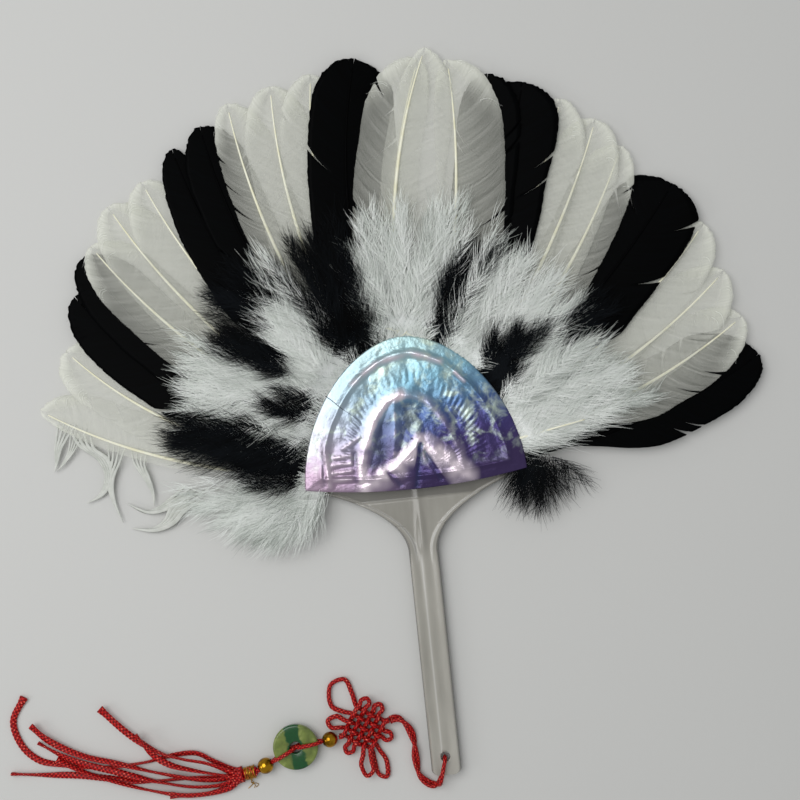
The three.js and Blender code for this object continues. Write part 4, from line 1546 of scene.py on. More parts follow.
# A fold's gleam sets how much highlight is painted along its crest.
FOLDS = (
    Fold(4.5, 0.9, 0.85, ARCH_LEFT),
    Fold(4.5, 0.9, 0.3, ARCH_RIGHT),
    Fold(5.5, 0.8, 0.5, ((-6, 37), (-7, 24), (-8.5, 12))),
    Fold(7.5, 1.1, 1.05, ((-22, -1), (-8, 6), (3.5, 16.5))),
    Fold(9.0, 1.1, 1.0, ((3.5, 16.5), (11.5, 10), (21, 0))),
    Fold(1.7, 0.5, 0.4, ((-36, 3), (-28, 3))),
    Fold(1.7, 0.5, 0.4, ((-36.5, 6.4), (-28, 6.6))),
    Fold(1.7, 0.5, 0.4, ((-36, 9.8), (-28, 10))),
    Fold(1.7, 0.5, 0.4, ((-35, 13.2), (-28, 13.4))),
    Fold(2.2, 0.6, 0.5, ((-38.5, 1), (-38.5, 15))),
    Fold(2.0, 0.5, 0.3, ((-31, 17), (-23, 21))),
    Fold(2.6, 0.4, 0.6, ((-24, 45), (-12, 53), (3, 56), (16, 51))),
    Fold(1.6, 0.5, 0.9, ((22, 45.5), (25.5, 41))),
)
# A crease's gleam sets how much shade is painted along it.
CREASES = (
    Fold(1.8, 0.6, 0.8, ((3.5, 15), (2, 7), (0, -3))),
    Fold(1.6, 0.4, 0.5, ((5, 12), (11, -1))),
    Fold(1.6, 0.5, 0.6, ((-12, 4), (-7, -2))),
    Fold(1.5, 0.4, 0.4, ((-40.5, 1), (-40.5, 14))),
    Fold(1.5, 0.4, 0.5, ((-26.5, 2), (-26, 14))),
)
# The film's wrinkles: height, waves for each millimetre across and up, and where in the noise they lie
WRINKLES = ((0.4, 0.1, 0.1, 1.7), (0.3, 0.27, 0.2, 5.1), (0.06, 0.7, 0.5, 9.4))
STRAY_BARB = ((-38.5, 42.5), (-34.7, 39.6), (-30, 35.0), (-26, 31.6), (-22.3, 28.6))


@dataclass
class HeadCover:
    """Film-covered half-moon with a pressed arch, a ring of ticks, an inner arch and folds."""

    back: float = 8.2
    rim: float = 9.0
    crown: float = 1.0
    crown_run: float = 9.0
    arch_inset: float = 7.5
    arch_half: float = 2.6
    arch_tall: float = 0.8
    tick_inset: float = 17.5
    tick_half: float = 3.4
    tick_tall: float = 0.26
    tick_deg: float = 3.6
    lip: float = 0.25
    bend: Point = (3.5, 16.5)
    focus: Point = (0.0, 18.0)
    around: int = 300
    rings: int = 96

    def build(self) -> None:
        """Builds the pressed cover and gives the hidden card and glue their finishes."""
        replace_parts(self.pressed(FilmFinish().build()), "front_cover")
        self.stray_barb()
        for node, finish in (
            ("back_cover", CardFinish("coated_card", "#a3a9bd", "#8d93a8", 0.55)),
            ("glue_bed", CardFinish("set_glue", "#ddd2b0", "#c9bb92", 0.4, 1.5)),
        ):
            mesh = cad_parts[node].data
            mesh.materials.clear()
            mesh.materials.append(finish.build())

    def relief(self, x: float, y: float) -> float:
        """Gives the height of the pressing above the rim.

        Args:
            x: the place across, in millimetres.
            y: the place up.

        Returns:
            The height in millimetres.
        """
        angle = math.atan2(y, x) if y > 0 else (0.0 if x > 0 else math.pi)
        inset = HEAD.radius(angle) - math.hypot(x, max(y, 0.0))
        inset = min(inset, max(0.0, y + HEAD.foot(x)) * 1.3)
        z = self.crown * (1 - math.exp(-inset / self.crown_run))
        z += self.arch_tall * max(0.0, 1 - abs(inset - self.arch_inset) / self.arch_half) ** 1.3
        band = max(0.0, 1 - ((inset - self.tick_inset) / self.tick_half) ** 2)
        worn = 0.55 + 0.9 * noise.noise(Vector((x * 0.06, y * 0.06, 8.2)))
        tick = math.cos(math.degrees(angle) * 2 * math.pi / self.tick_deg)
        z += self.tick_tall * band * max(0.0, worn) * tick
        z += max(fold.tall * fold.near(x, y) ** 1.2 for fold in FOLDS)
        z -= max(fold.tall * fold.near(x, y) for fold in CREASES)
        calm = smooth_step(inset, 0, 7)
        for tall, across, up, at in WRINKLES:
            z += tall * noise.noise(Vector((x * across, y * up, at))) * calm
        return z

    def stray_barb(self) -> None:
        """Lays one black barb on the film, its root under the edge of the down."""
        line = curve_points([Vector((x, y, self.rim + 0.08 + self.relief(x, y))) for x, y in STRAY_BARB], 1.0)
        for spot in line:
            spot.z = self.rim + 0.08 + self.relief(spot.x, spot.y)
        barb = FibreFinish("black_stray_barb", "#040506", "#020202", 0.6, 0.06, 4.0).build()
        shown(fibres("stray_barb", [line], 0.16, 0.1), "stray_barb", "fan", barb)

    def stretch(self, x: float, y: float) -> float:
        """Gives the painted light on the film: a highlight along the folds, and shade in the middle of the
        arch and along the creases.

        Args:
            x: the place across, in millimetres.
            y: the place up.

        Returns:
            A half on the level, more where a highlight is painted along a ridge, and less where shade is
            painted in the middle of the arch and along the creases.
        """
        # Painted shade in the middle of the arch, stronger on the left and above the legs of the A.
        inside = smooth_step(1 - ((x + 1) / 21) ** 2 - ((y - 6) / 31) ** 2, 0, 0.3)
        top_x, top_y = self.bend
        leg = top_y - (0.7 * (top_x - x) if x < top_x else 1.1 * (x - top_x))
        hollow_shade = inside * mix(0.2, 1.0, smooth_step(-x, -8, 8)) * smooth_step(y - leg, 1, 6)
        # Painted highlight along the folds, broken up by noise.
        ridge = max(fold.gleam * fold.near(x, y) ** 1.3 for fold in FOLDS)
        ridge *= 1.0 + 0.8 * noise.noise(Vector((x * 0.24, y * 0.24, 3.3)))
        # Painted shade along the creases.
        crease_shade = max(fold.gleam * fold.near(x, y) for fold in CREASES)
        return 0.5 + 0.5 * ridge * (1 - crease_shade) - 0.5 * max(hollow_shade * (1 - ridge), crease_shade)

    def pressed(self, film: Material) -> Object:
        """Lays rings from the edge to the middle and lifts them by the relief.

        Args:
            film: its material.

        Returns:
            The piece.
        """
        focus = Vector((*self.focus, 0))

        def place(u: float, v: float) -> Vector:
            """Puts a grid point on the cover.

            Args:
                u: from -1 to 1 round the edge.
                v: from -1 at the edge to 1 at the middle.

            Returns:
                The point.
            """
            share = ((1 - v) / 2) ** 0.9
            spot = focus.lerp(HEAD.edge((u + 1) / 2 % 1.0), max(share, 0.004))
            lip = self.lip * math.exp(-((1 - share) / 0.004))
            spot.z = self.rim - lip + self.relief(spot.x, spot.y)
            return spot * MM

        bm = mapped_grid(self.around, self.rings, place)
        bmesh.ops.remove_doubles(bm, verts=bm.verts[:], dist=1e-7)
        # The stretch layer holds the film's painted light: highlight on the folds, shade in the arch's middle
        # and in the creases.
        drawn = bm.verts.layers.float.new("stretch")
        for vert in bm.verts:
            vert[drawn] = self.stretch(vert.co.x / MM, vert.co.y / MM)
        for vert in new_verts(bmesh.ops.extrude_edge_only(bm, edges=open_edges(bm))):
            vert.co.z = self.back * MM
        fill_in(bm)
        return shown(bm, "film_cover", "fan", film)


# Plumage


@dataclass(frozen=True)
class FlightSpec:
    """One flight feather: dye, angles at root and tip, reach, half widths and how long its round tip is."""

    shade: Shade
    root: float
    tip: float
    reach: float
    outer: float
    inner: float
    blunt: float = 30.0


W, B = Shade.WHITE, Shade.BLACK
FLIGHT = tuple(FlightSpec(*sizes) for sizes in (
    (W, 173, 163.8, 171, 4, 17),
    (W, 166, 154, 167, 13, 16, 18),
    (B, 157.5, 146, 173, 14, 17),
    (B, 151, 140.6, 179, 14, 17),
    (W, 146, 138.5, 179, 13, 17),
    (W, 140, 132.6, 184, 16, 17),
    (W, 134, 126.8, 181, 16, 14),
    (B, 129, 120.6, 183.5, 13, 12, 48),
    (B, 124, 115.6, 185, 12, 17, 28),
    (W, 118, 110.8, 188, 10, 17),
    (W, 112.5, 104.4, 187.5, 14, 17),
    (W, 107, 98.6, 187, 14, 13),
    (B, 101.5, 92.4, 190, 17, 23, 27),
    (W, 91.4, 83.7, 188, 18.5, 10),
    (W, 91.5, 82.8, 193, 7, 21, 40),
    (W, 73.3, 79.8, 188, 21.5, 9, 34),
    (B, 66, 69, 184, 19, 20, 20),
    (W, 59, 63.2, 182, 16, 9),
    (W, 52, 57.5, 180, 17, 16),
    (W, 45.5, 52.4, 175, 12, 16),
    (B, 38, 43, 175, 20, 20, 17),
    (W, 28, 35.6, 172, 16, 16),
    (W, 20.5, 28, 166, 17, 16),
    (W, 13, 20.5, 163, 15, 16),
    (B, 5.5, 14, 163, 14, 24),
))
UNDER_NUMBER = 40
UNDER_FLIGHT = FlightSpec(B, 69, 74, 184, 15, 13, 24)
BARE_QUILL = ((46.5, 13.1, 7.9), (50, 13.8, 9.4), (56, 15, 12.6), (63, 16.4, 14.6), (70, 17.6, 15.2),
              (76.2, 18.7, 14.8))
# The curled strips of web: half width and route
LOOSE_CURLS: tuple[tuple[float, tuple[Point, ...]], ...] = (
    (0.8, ((-152.5, 41.0), (-155.5, 35.5), (-158, 30), (-159.5, 24), (-161, 19.5))),
    (0.5, ((-147.5, 38.5), (-150, 33), (-152.5, 28), (-157, 22.5), (-160, 20))),
    (1.5, ((-147, 35.5), (-145, 29.5), (-138.5, 23.5), (-136.5, 15.5), (-140.5, 8), (-148, 4.2))),
    (0.9, ((-131.5, 29.0), (-133.4, 22), (-136.3, 14), (-136, 5), (-132.8, -6))),
    (0.8, ((-121.5, 26.5), (-122.5, 19.8), (-120, 13), (-118, 6), (-118, 0))),
    (1.3, ((-99, 6.0), (-107.6, 1.4), (-114, -1.5), (-121, -2.6), (-130.5, 2.4))),
    (1.6, ((-99, 2.0), (-107, -2.3), (-112, -8), (-119.5, -10.8), (-129.4, -9))),
)


@dataclass
class FlightFan:
    """The fan of flight feathers, each a vane of slanting barbs on a tapered shaft."""

    centre: int = 14
    tuck: float = 15.0
    quill_z: float = 5.6
    vane_from: float = 64.0
    web_from: Point = (68.0, 80.0)
    web_thick: float = 0.12
    widen: Point = (60.0, 112.0)
    roll: float = 0.13
    droop: float = 3.0
    droop_from: float = 70.0
    droop_run: float = 125.0
    centre_lift: float = 1.2
    camber: float = 0.002
    barbs: int = 110
    points: int = 7
    edge_steps: int = 240
    shaft_steps: int = 60
    shaft_radius: Point = (1.25, 0.28)
    quill_radius: Point = (0.62, 0.3)

    def build(self) -> None:
        """Builds every vane and shaft."""
        vanes = {
            Shade.WHITE: VaneFinish("white_goose_vane", "#f6f7ed", "#eceee2", 0.25, 0.15, 0.7, 0.3).build(),
            Shade.BLACK: VaneFinish("black_goose_vane", "#020304", "#010101", 1.0, 1.0, 0.5, 0.03).build(),
        }
        shafts = {
            Shade.WHITE: FibreFinish("cream_shaft", "#fefde8", "#f6f3d4", 0.4, 0.4, 6.0).build(),
            Shade.BLACK: FibreFinish("black_shaft", "#030304", "#020202", 0.6, 0.03, 6.0).build(),
        }
        barbs = {
            Shade.WHITE: FibreFinish("white_loose_barb", "#f6f8f2", "#e9ece3", 0.6, 0.3, 4.0).build(),
            Shade.BLACK: FibreFinish("black_loose_barb", "#040506", "#020202", 0.6, 0.06, 4.0).build(),
        }
        for number, spec in enumerate(FLIGHT):
            name = f"flight_{number + 1:02d}"
            vane = self.web(number, spec, f"{name}_vane", vanes[spec.shade])
            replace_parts(vane, f"{name}_{spec.shade.value}")
            shown(self.shaft(number, spec), f"{name}_shaft", "fan", shafts[spec.shade])
            loose = fibres(f"{name}_loose_barbs", self.loose_barbs(number, spec), 0.07, 0.04)
            shown(loose, f"{name}_loose_barbs", "fan", barbs[spec.shade])
        self.web(UNDER_NUMBER, UNDER_FLIGHT, "flight_17_under_vane", vanes[Shade.BLACK])
        self.bare_quill(shafts[Shade.WHITE])
        self.cut_barbs(shafts[Shade.WHITE])
        self.curls(FibreFinish("curled_white_web", "#dfe1da", "#cfd2ca", 0.7, 0.2, 4.0).build())

    def web(self, number: int, spec: FlightSpec, name: str, material: Material) -> Object:
        """Shows a vane with the thickness of its web.

        Args:
            number: the feather's index.
            spec: its sizes.
            name: the piece's name.
            material: its material.

        Returns:
            The piece.
        """
        vane = shown(self.vane(number, spec), name, "fan", material)
        skin = vane.modifiers.new("web", "SOLIDIFY")
        skin.thickness = self.web_thick * MM
        skin.offset = 0.0
        return vane

    def start(self, spec: FlightSpec) -> float:
        """Gives how far from the origin a quill begins."""
        return HEAD.radius(math.radians(spec.root)) - self.tuck

    def spot(self, spec: FlightSpec, reach: float) -> Vector:
        """Gives the shaft's place in plan.

        Args:
            spec: the feather's sizes.
            reach: the distance from the origin.

        Returns:
            The place, with a z of 0.
        """
        start = self.start(spec)
        share = max(0.0, (reach - start) / (spec.reach - start))
        return polar(mix(spec.root, spec.tip, share ** 1.6), reach)

    def across(self, number: int, spec: FlightSpec, reach: float) -> Vector:
        """Gives the unit direction across a feather, away from the fan's middle.

        Args:
            number: the feather's index.
            spec: its sizes.
            reach: the distance from the origin.

        Returns:
            The direction.
        """
        way = (self.spot(spec, reach + 0.3) - self.spot(spec, reach - 0.3)).normalized()
        turn = -1 if number > self.centre else 1
        return Vector((-way.y, way.x, 0)) * turn

    def level(self, number: int, reach: float, aside: float) -> float:
        """Gives the height of a vane.

        Args:
            number: the feather's index.
            reach: the distance from the origin.
            aside: the distance across, positive away from the fan's middle.

        Returns:
            The height in millimetres.
        """
        web = smooth_step(reach, *self.web_from)
        base = self.quill_z - self.droop * (max(0.0, reach - self.droop_from) / self.droop_run) ** 1.4
        if number == self.centre:
            return base + self.centre_lift * web - self.camber * aside ** 2
        return base + (self.roll * aside - self.camber * aside ** 2) * web

    def width(self, spec: FlightSpec, reach: float) -> float:
        """Gives the share of full width at a reach."""
        end = min(1.0, max(0.0, (reach - spec.reach + spec.blunt) / spec.blunt))
        return smooth_step(reach, *self.widen) ** 1.2 * math.sqrt(1 - end ** 2.3)

    def outline(self, number: int, spec: FlightSpec, side: int) -> list[Vector]:
        """Runs along one edge of a vane.

        Args:
            number: the feather's index.
            spec: its sizes.
            side: 1 for the outer edge, -1 for the inner one.

        Returns:
            Points of reach and distance across, about one for each barb.
        """
        wide = spec.outer if side > 0 else spec.inner
        edge = []
        for i in range(self.edge_steps + 1):
            reach = mix(self.vane_from + 1, spec.reach, 1 - (1 - i / self.edge_steps) ** 1.6)
            wavy = 1 + 0.04 * noise.noise(Vector((reach * 0.07, number * 3.1, side * 7.0)))
            edge.append(Vector((reach, max(0.05, wide * self.width(spec, reach) * wavy), 0)))
        return evenly(edge, path_length(edge) / self.barbs)

    def vane(self, number: int, spec: FlightSpec) -> BMesh:
        """Lays a vane's barbs from the shaft to its outline, with a few splits that open toward the edge.

        Args:
            number: the feather's index.
            spec: its sizes.

        Returns:
            The vane as one sheet.
        """
        rng = random.Random(700 + number)
        shaft_end = spec.reach - 2.0
        splits = sorted(
            (rng.uniform(0.42, 0.84), rng.choice((1, -1)), rng.uniform(0.3, 0.75), rng.uniform(0.5, 1.6))
            for _ in range(rng.randint(3, 5))
        )
        marks = [round(t * self.barbs) for t, *_ in splits]
        rows: list[tuple[float, int]] = []
        for i in range(self.barbs + 1):
            rows.append((i / self.barbs, -1))
            if i in marks:
                rows.append((i / self.barbs, marks.index(i)))
        last = len(rows) - 1
        outlines = {side: self.outline(number, spec, side) for side in (1, -1)}

        def root(row: int) -> float:
            """Gives how far out a row's barbs leave the shaft."""
            return mix(self.vane_from, shaft_end, rows[row][0] ** 1.25)

        def barb(row: int, share: float, side: int) -> Point:
            """Gives a point on a barb.

            Args:
                row: the barb's row.
                share: how far along the barb, from 0 to 1.
                side: 1 for the outer side, -1 for the inner one.

            Returns:
                The reach and the distance across.
            """
            t, split = rows[row]
            tip = outlines[side][min(round(t * self.barbs), len(outlines[side]) - 1)]
            jag = 0.5 * noise.noise(Vector((t * 97.0, number * 1.7, side * 2.3))) * (0.4 + t)
            end = tip.x + jag
            wide = tip.y + 0.6 * jag
            for k, (_, on, depth, gap) in enumerate(splits):
                if on == side and share > depth:
                    apart = round(t * self.barbs) - marks[k]
                    if apart == 0:
                        apart = 0.01 if split == k else -0.01
                    drift = math.copysign(gap * math.exp(-abs(apart) / 6.0), apart)
                    end += drift * (share - depth) / (1 - depth)
            begin = root(row)
            bend = begin + 0.3 * (end - begin)
            reach = (1 - share) ** 2 * begin + 2 * share * (1 - share) * bend + share ** 2 * end
            return reach, 2 * share * (1 - share) * 0.6 * wide + share ** 2 * wide

        def place(u: float, v: float) -> Vector:
            """Puts a grid point on the vane.

            Args:
                u: from -1 to 1 along the shaft.
                v: from -1 at the inner edge to 1 at the outer one.

            Returns:
                The point.
            """
            side = 1 if v >= 0 else -1
            reach, aside = barb(round((u + 1) / 2 * last), abs(v), side)
            aside *= side
            spot = self.spot(spec, reach) + self.across(number, spec, reach) * aside
            spot.z = self.level(number, reach, aside)
            return spot * MM

        def uv(u: float, v: float) -> Point:
            """Gives where the barb leaves the shaft, in tenths of a metre, and the share out to its tip."""
            return root(round((u + 1) / 2 * last)) / 100, v

        def keep(u: float, v: float) -> bool:
            """Leaves out the faces in a split.

            Args:
                u: the face's place along the shaft.
                v: its place across.

            Returns:
                Whether the face stays.
            """
            split = rows[math.ceil((u + 1) / 2 * last - 1e-6)][1]
            if split < 0:
                return True
            return splits[split][1] * v < 0 or abs(v) < splits[split][2]

        bm = mapped_grid(last, 2 * self.points, place, uv, keep)
        bmesh.ops.remove_doubles(bm, verts=bm.verts[:], dist=2e-6)
        tip = bm.verts.layers.float.new("tip")
        for vert in bm.verts:
            vert[tip] = smooth_step(vert.co.xy.length / MM, spec.reach - 26, spec.reach - 2)
        return bm

    def thick(self, step: int) -> float:
        """Gives a shaft's radius at a step along it."""
        return mix(*self.shaft_radius, step / self.shaft_steps)

    def shaft(self, number: int, spec: FlightSpec) -> BMesh:
        """Sweeps a tapered shaft from inside the head to near the tip.

        Args:
            number: the feather's index.
            spec: its sizes.

        Returns:
            The shaft.
        """
        start = self.start(spec)
        path = []
        for i in range(self.shaft_steps + 1):
            reach = mix(start, spec.reach - 4, i / self.shaft_steps)
            spot = self.spot(spec, reach)
            spot.z = self.level(number, reach, 0.0) + 0.5 * smooth_step(reach, 70, 90) * self.thick(i)
            path.append(spot * MM)
        return sweep(path, oval(self.thick, 1.0, 0.8), 8)

    def loose_barbs(self, number: int, spec: FlightSpec) -> list[list[Vector]]:
        """Frees a few barbs near a feather's tip, which stand out past its outline.

        Args:
            number: the feather's index.
            spec: its sizes.

        Returns:
            The points of each barb, in millimetres.
        """
        rng = random.Random(300 + number)
        lines = []
        for _ in range(9):
            side = rng.choice((1, -1))
            wide = spec.outer if side > 0 else spec.inner
            reach = spec.reach - 1.5 - 18 * rng.random() ** 1.6
            back = rng.uniform(0, 4) if spec.shade is Shade.WHITE else rng.uniform(-2, 1)
            past = rng.uniform(-0.4, 1.2)
            line = []
            for i in range(6):
                share = i / 5
                along = min(spec.reach, reach + 4 * share - (4 + back) * share * share)
                out = wide * self.width(spec, min(along, spec.reach - 0.3))
                aside = side * (mix(0.62, 1.0, share ** 0.8) * out + past * share * share)
                spot = self.spot(spec, along) + self.across(number, spec, along) * aside
                spot.z = self.level(number, along, aside) + 0.15 + 0.5 * share
                line.append(spot)
            lines.append(line)
        return lines

    def bare_quill(self, cream: Material) -> None:
        """Lays the one quill that shows through the down on the right.

        Args:
            cream: its material.
        """
        path = curve_points([Vector(spot) * MM for spot in BARE_QUILL], 1.2 * MM)
        last = len(path) - 1
        quill = sweep(path, oval(lambda i: mix(*self.quill_radius, i / last), 1.0, 1.0), 8)
        shown(quill, "flight_24_quill", "fan", cream)

    def cut_barbs(self, cream: Material) -> None:
        """Leaves a small tangle of cut barbs over the top of the head.

        Args:
            cream: their material.
        """
        rng = random.Random(12)
        lines = []
        for _ in range(26):
            spot = Vector((rng.gauss(3.4, 3.4), 65.4 + abs(rng.gauss(0, 1.6)), rng.uniform(8.4, 10)))
            turn = rng.gauss(math.pi / 2, 0.9)
            bend = rng.gauss(0, 0.25)
            line = [spot]
            for _ in range(3):
                turn += bend
                way = Vector((math.cos(turn), math.sin(turn), rng.uniform(0.1, 0.6)))
                line.append(line[-1] + way * rng.uniform(1.0, 2.4))
            lines.append(line)
        shown(fibres("cut_barbs", lines, 0.16, 0.12), "cut_barbs", "fan", cream)

    def curls(self, barb: Material) -> None:
        """Hangs the curled strips of web that have come loose from the lowest feather on the left.

        Args:
            barb: their material.
        """
        edge = Vector((0.95, -0.3, 0))
        for number, (half, route) in enumerate(LOOSE_CURLS, 1):
            last = len(route) - 1
            for strand, letter in enumerate("abcd"):
                points = []
                for i, (x, y) in enumerate(route):
                    share = i / last
                    spread = 2.2 * (1 - share) ** 2 + 0.55 * half * (1 - share ** 2)
                    spot = Vector((x, y, mix(3.9, 1.5, share) + 0.12 * strand))
                    points.append(spot + edge * ((strand - 1.5) * spread))
                path = [p * MM for p in curve_points(points, 1.0)]
                steps = len(path) - 1

                def section(i: int, angle: float) -> Point:
                    """Gives a thin strip that swells and runs out to a point.

                    Args:
                        i: the step along the strip.
                        angle: the direction round it.

                    Returns:
                        The offset sideways and up, in metres.
                    """
                    wide = 0.75 * half * max(0.08, math.sin(math.pi * (0.1 + 0.88 * i / steps)) ** 0.8)
                    flat = wide * math.cos(angle)
                    return flat * MM, 0.1 * MM * math.sin(angle) + 0.35 * flat * MM

                name = f"flight_01_curl_{number}{letter}"
                shown(sweep(path, section, 6), name, "fan", barb)


@dataclass(frozen=True)
class Cluster:
    """Plumes of down that fan from one edge to another: each edge is two places of angle and reach."""

    node: str
    base: tuple[Point, Point]
    tip: tuple[Point, Point]
    plumes: int
    barb: float
    height: float
    barbs: int = 195
    # How pale the cluster's threads are painted, before painted shade and sheen are added.
    tone: float = 1.0


CLUSTERS = (
    Cluster("down_01_white", ((187, 45), (169, 46)), ((202, 62), (177, 112)), 21, 16, 4.0, tone=0.9),
    Cluster("down_02_black", ((167, 66), (156, 68)), ((169, 112), (160, 113)), 15, 14, 9.0),
    Cluster("down_02_black", ((172, 45), (155, 47)), ((176, 80), (165, 80)), 12, 13, 7.5),
    Cluster("down_03_white", ((141, 51), (127, 57)), ((160, 112), (142, 122)), 21, 17, 7.0),
    Cluster("down_03_white", ((157, 47), (142, 49)), ((166, 78), (155, 82)), 8, 13, 6.0),
    Cluster("down_04_black", ((128, 92), (120, 102)), ((136, 121), (125, 130)), 9, 13, 6.5),
    Cluster("down_04_black", ((136, 76), (131, 80)), ((142, 108), (135, 113)), 9, 11, 11.5),
    Cluster("down_04_black", ((141, 49), (134, 51)), ((151, 80), (144, 82)), 10, 11, 10.5),
    Cluster("down_05_white", ((127, 57), (112, 60)), ((131, 104), (119, 121)), 19, 16, 8.5),
    Cluster("down_06_black", ((113, 60), (99, 62)), ((117, 119), (99, 124)), 24, 15, 10.5),
    Cluster("down_07_white", ((97, 62), (79, 63)), ((97, 124), (69, 124)), 22, 17, 8.0),
    Cluster("down_07_white", ((99, 63), (91, 63)), ((106, 98), (97, 114)), 6, 14, 9.5, 180, 0.6),
    Cluster("down_08_black", ((80, 61), (71, 61)), ((73, 104), (63, 116)), 12, 12, 9.0),
    Cluster("down_09_white", ((71, 59), (52, 62)), ((67, 110), (38, 111)), 26, 16, 8.0),
    Cluster("down_10_black", ((51, 54), (42, 55)), ((57, 80), (42, 96)), 17, 10, 12.5),
    Cluster("down_10_black", ((41, 84), (36, 88)), ((40, 119), (33, 116)), 6, 12, 6.5, 180),
    Cluster("down_11_white", ((34, 53), (11, 48)), ((29, 106), (12, 113)), 19, 16, 7.0),
    Cluster("down_11_white", ((40, 60), (32, 56)), ((40, 84), (30, 108)), 7, 13, 11.0, 180, 0.85),
    Cluster("down_12_black", ((5, 47), (2, 58)), ((-15, 44), (-19, 57)), 11, 15, 2.5, 50),
    Cluster("down_12_black", ((3, 54), (0.5, 66)), ((-16, 60), (-5, 74)), 7, 12, 2.5, 30),
)


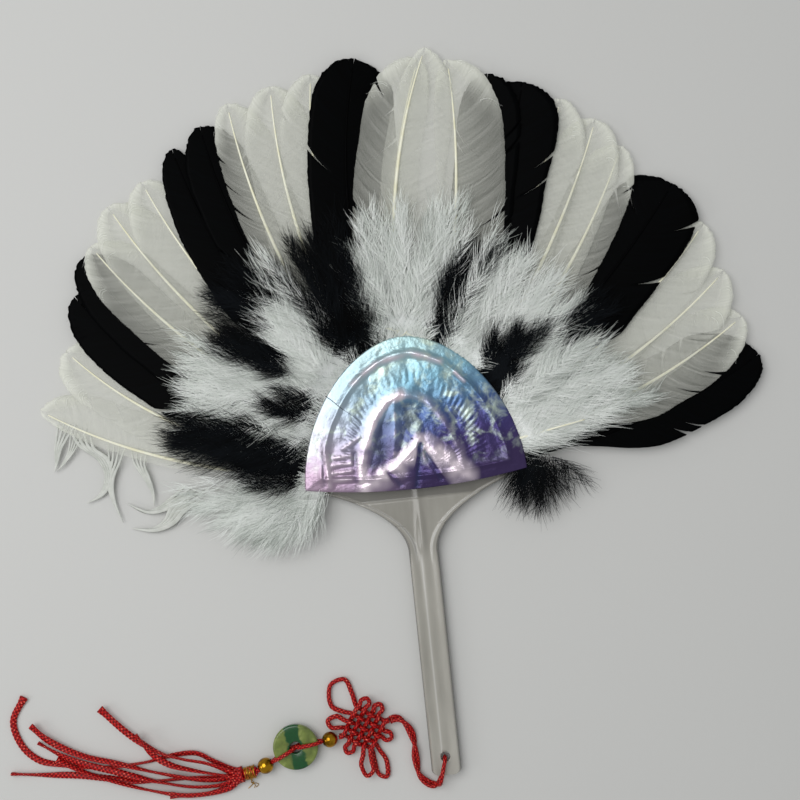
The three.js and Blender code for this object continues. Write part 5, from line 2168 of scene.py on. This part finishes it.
@dataclass
class DownFan:
    """Tufts of marabou: soft plumes whose long barbs gather in locks and curve toward their tips."""

    root_z: float = 7.6
    lowest_z: float = 3.2
    fibre: float = 0.086
    fibre_rise: float = 0.03
    steps: int = 3
    lock: int = 5
    # Random spread of the painted sheen and shade, for each lock and each thread.
    tone_spread: float = 0.17
    hair_spread: float = 0.1
    open_deg: Point = (46.0, 11.0)
    comb: float = 0.7
    comb_waves: float = 0.07

    def build(self) -> None:
        """Builds one piece for each tuft."""
        finishes = {
            # The grey lowest stop is painted shade and the brightest a painted sheen, chosen by each thread's
            # tone.
            Shade.WHITE: DownFinish("white_marabou", "#8f978f", "#eef3ed", "#fdfffc", 0.5, 0.5).build(),
            Shade.BLACK: DownFinish("black_marabou", "#010101", "#030405", "#12161a", 0.6, 0.06).build(),
        }
        for number, node in enumerate(sorted({cluster.node for cluster in CLUSTERS})):
            shade = Shade(node.rsplit("_", 1)[1])
            rng = random.Random(90 + number)
            hairs = [hair for spec in CLUSTERS if spec.node == node for hair in self.cluster(spec, rng)]
            lines, tones = zip(*hairs)
            mesh = fibres(f"{node}_plumes", lines, self.fibre, self.fibre_rise, tones)
            piece = shown(mesh, f"{node}_plumes", "fan", finishes[shade])
            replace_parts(piece, node)

    @staticmethod
    def between(edge: tuple[Point, Point], share: float) -> Vector:
        """Gives the place at a share of the way along a cluster's edge."""
        (angle, reach), (end_angle, end_reach) = edge
        return polar(mix(angle, end_angle, share), mix(reach, end_reach, share))

    def cluster(self, spec: Cluster, rng: random.Random) -> Iterator[Hair]:
        """Spreads a cluster's plumes between its edges.

        Args:
            spec: the cluster.
            rng: its own random numbers.

        Yields:
            The points of each barb, in millimetres, and its tone.
        """
        for i in range(spec.plumes):
            share = (i + rng.uniform(0.1, 0.9)) / spec.plumes
            foot = self.between(spec.base, share)
            aim = min(1.06, max(-0.06, share + rng.gauss(0, 0.09)))
            head = foot.lerp(self.between(spec.tip, aim), rng.uniform(0.82, 1.0))
            # Painted shade: plumes toward a cluster's edges are greyer.
            tone = spec.tone - 0.2 * abs(2 * share - 1) ** 3 + rng.gauss(0, self.tone_spread)
            yield from self.plume(foot.lerp(head, rng.uniform(-0.1, 0.2)), head, spec, tone, rng)
            if i % 2 == 0:
                under = foot.lerp(head, rng.uniform(0.3, 0.55))
                # The short plume underneath gets a darker tone, as painted shade.
                yield from self.plume(foot.lerp(head, -0.12), under, spec, tone - 0.1, rng)

    def plume(
        self, foot: Vector, head: Vector, spec: Cluster, tone: float, rng: random.Random
    ) -> Iterator[Hair]:
        """Grows the locks of barbs of one plume along its bent shaft.

        Args:
            foot: where it starts in plan.
            head: where it ends in plan.
            spec: the cluster that it is in.
            tone: how pale it is.
            rng: random numbers.

        Yields:
            The points of each barb, in millimetres, and its tone.
        """
        run = head - foot
        way = run.normalized()
        aside = Vector((-way.y, way.x, 0))
        bow = rng.gauss(0, 0.06) * run.length
        crown = spec.height * rng.uniform(0.4, 1.05)
        fall = rng.uniform(0.2, 1.5)
        lane = rng.uniform(0, 50)
        for k in range(spec.barbs // self.lock):
            q = 0.02 + 0.98 * rng.random() ** 1.1
            spot = foot + run * q + aside * (4 * bow * q * (1 - q))
            spot.z = self.root_z + 0.6 + crown * math.sin(math.pi * min(1.0, q * 0.8 + 0.12)) - fall * q
            side = 1 if k % 2 else -1
            length = spec.barb * rng.uniform(0.7, 1.35) * (1 - 0.5 * q * q)
            open_by = math.radians(rng.gauss(*self.open_deg)) * (1 - 0.65 * q ** 1.5)
            close_by = open_by * rng.uniform(-0.05, 0.3)
            rise = rng.uniform(-0.15, 0.32)
            sink = rng.uniform(-0.5, 0.1)
            lean = rng.gauss(0, 0.1)
            spine = [spot]
            for step in range(self.steps):
                part = (step + 0.5) / self.steps
                here = spine[-1]
                wave = Vector((here.x * self.comb_waves, here.y * self.comb_waves, lane))
                comb = self.comb * noise.noise(wave)
                angle = side * mix(open_by, close_by, part) + lean + comb * part
                flow = way * math.cos(angle) + aside * math.sin(angle)
                flow.z = mix(rise, sink, part)
                spine.append(here + flow * (length / self.steps))
            # Painted shade near the plume's root and far end, with random painted sheen on each lock.
            shine = tone + rng.gauss(0, self.tone_spread) - 0.15 * (1 - q) ** 4 - 0.2 * q ** 3
            gather = rng.uniform(0.0, 0.5)
            for _ in range(self.lock):
                root = way * rng.gauss(0, 2.3) + aside * rng.gauss(0, 0.9) + UP * rng.gauss(0, 0.4)
                end = Vector((rng.gauss(0, 1.3), rng.gauss(0, 1.3), rng.gauss(0, 0.5)))
                stretch = rng.uniform(0.75, 1.1)
                hair = []
                for i, point in enumerate(spine):
                    part = i / self.steps
                    place = spine[0].lerp(point, stretch) + root * (1 - gather * part) + end * part
                    hair.append(self.tucked(place))
                yield hair, min(1.1, max(0.1, shine + rng.gauss(0, self.hair_spread)))

    def tucked(self, place: Vector) -> Vector:
        """Keeps a point above the table, under the head's edge and clear of its rim.

        Args:
            place: the point, in millimetres.

        Returns:
            The point with its height mended.
        """
        high = place.z
        if place.y > -4:
            out = math.hypot(place.x, place.y) - HEAD.radius(math.atan2(max(0.0, place.y), place.x))
            high = min(high, self.root_z + 0.2 + 0.9 * max(0.0, out - 0.4))
        return Vector((place.x, place.y, max(self.lowest_z, high)))


def main() -> None:
    """Builds the studio and the fan."""
    logging.basicConfig(level=logging.INFO, format="%(name)s %(message)s")
    Studio().build()
    Pendant().build()
    Handle().build()
    HeadCover().build()
    FlightFan().build()
    DownFan().build()


if __name__ == "__main__":
    main()
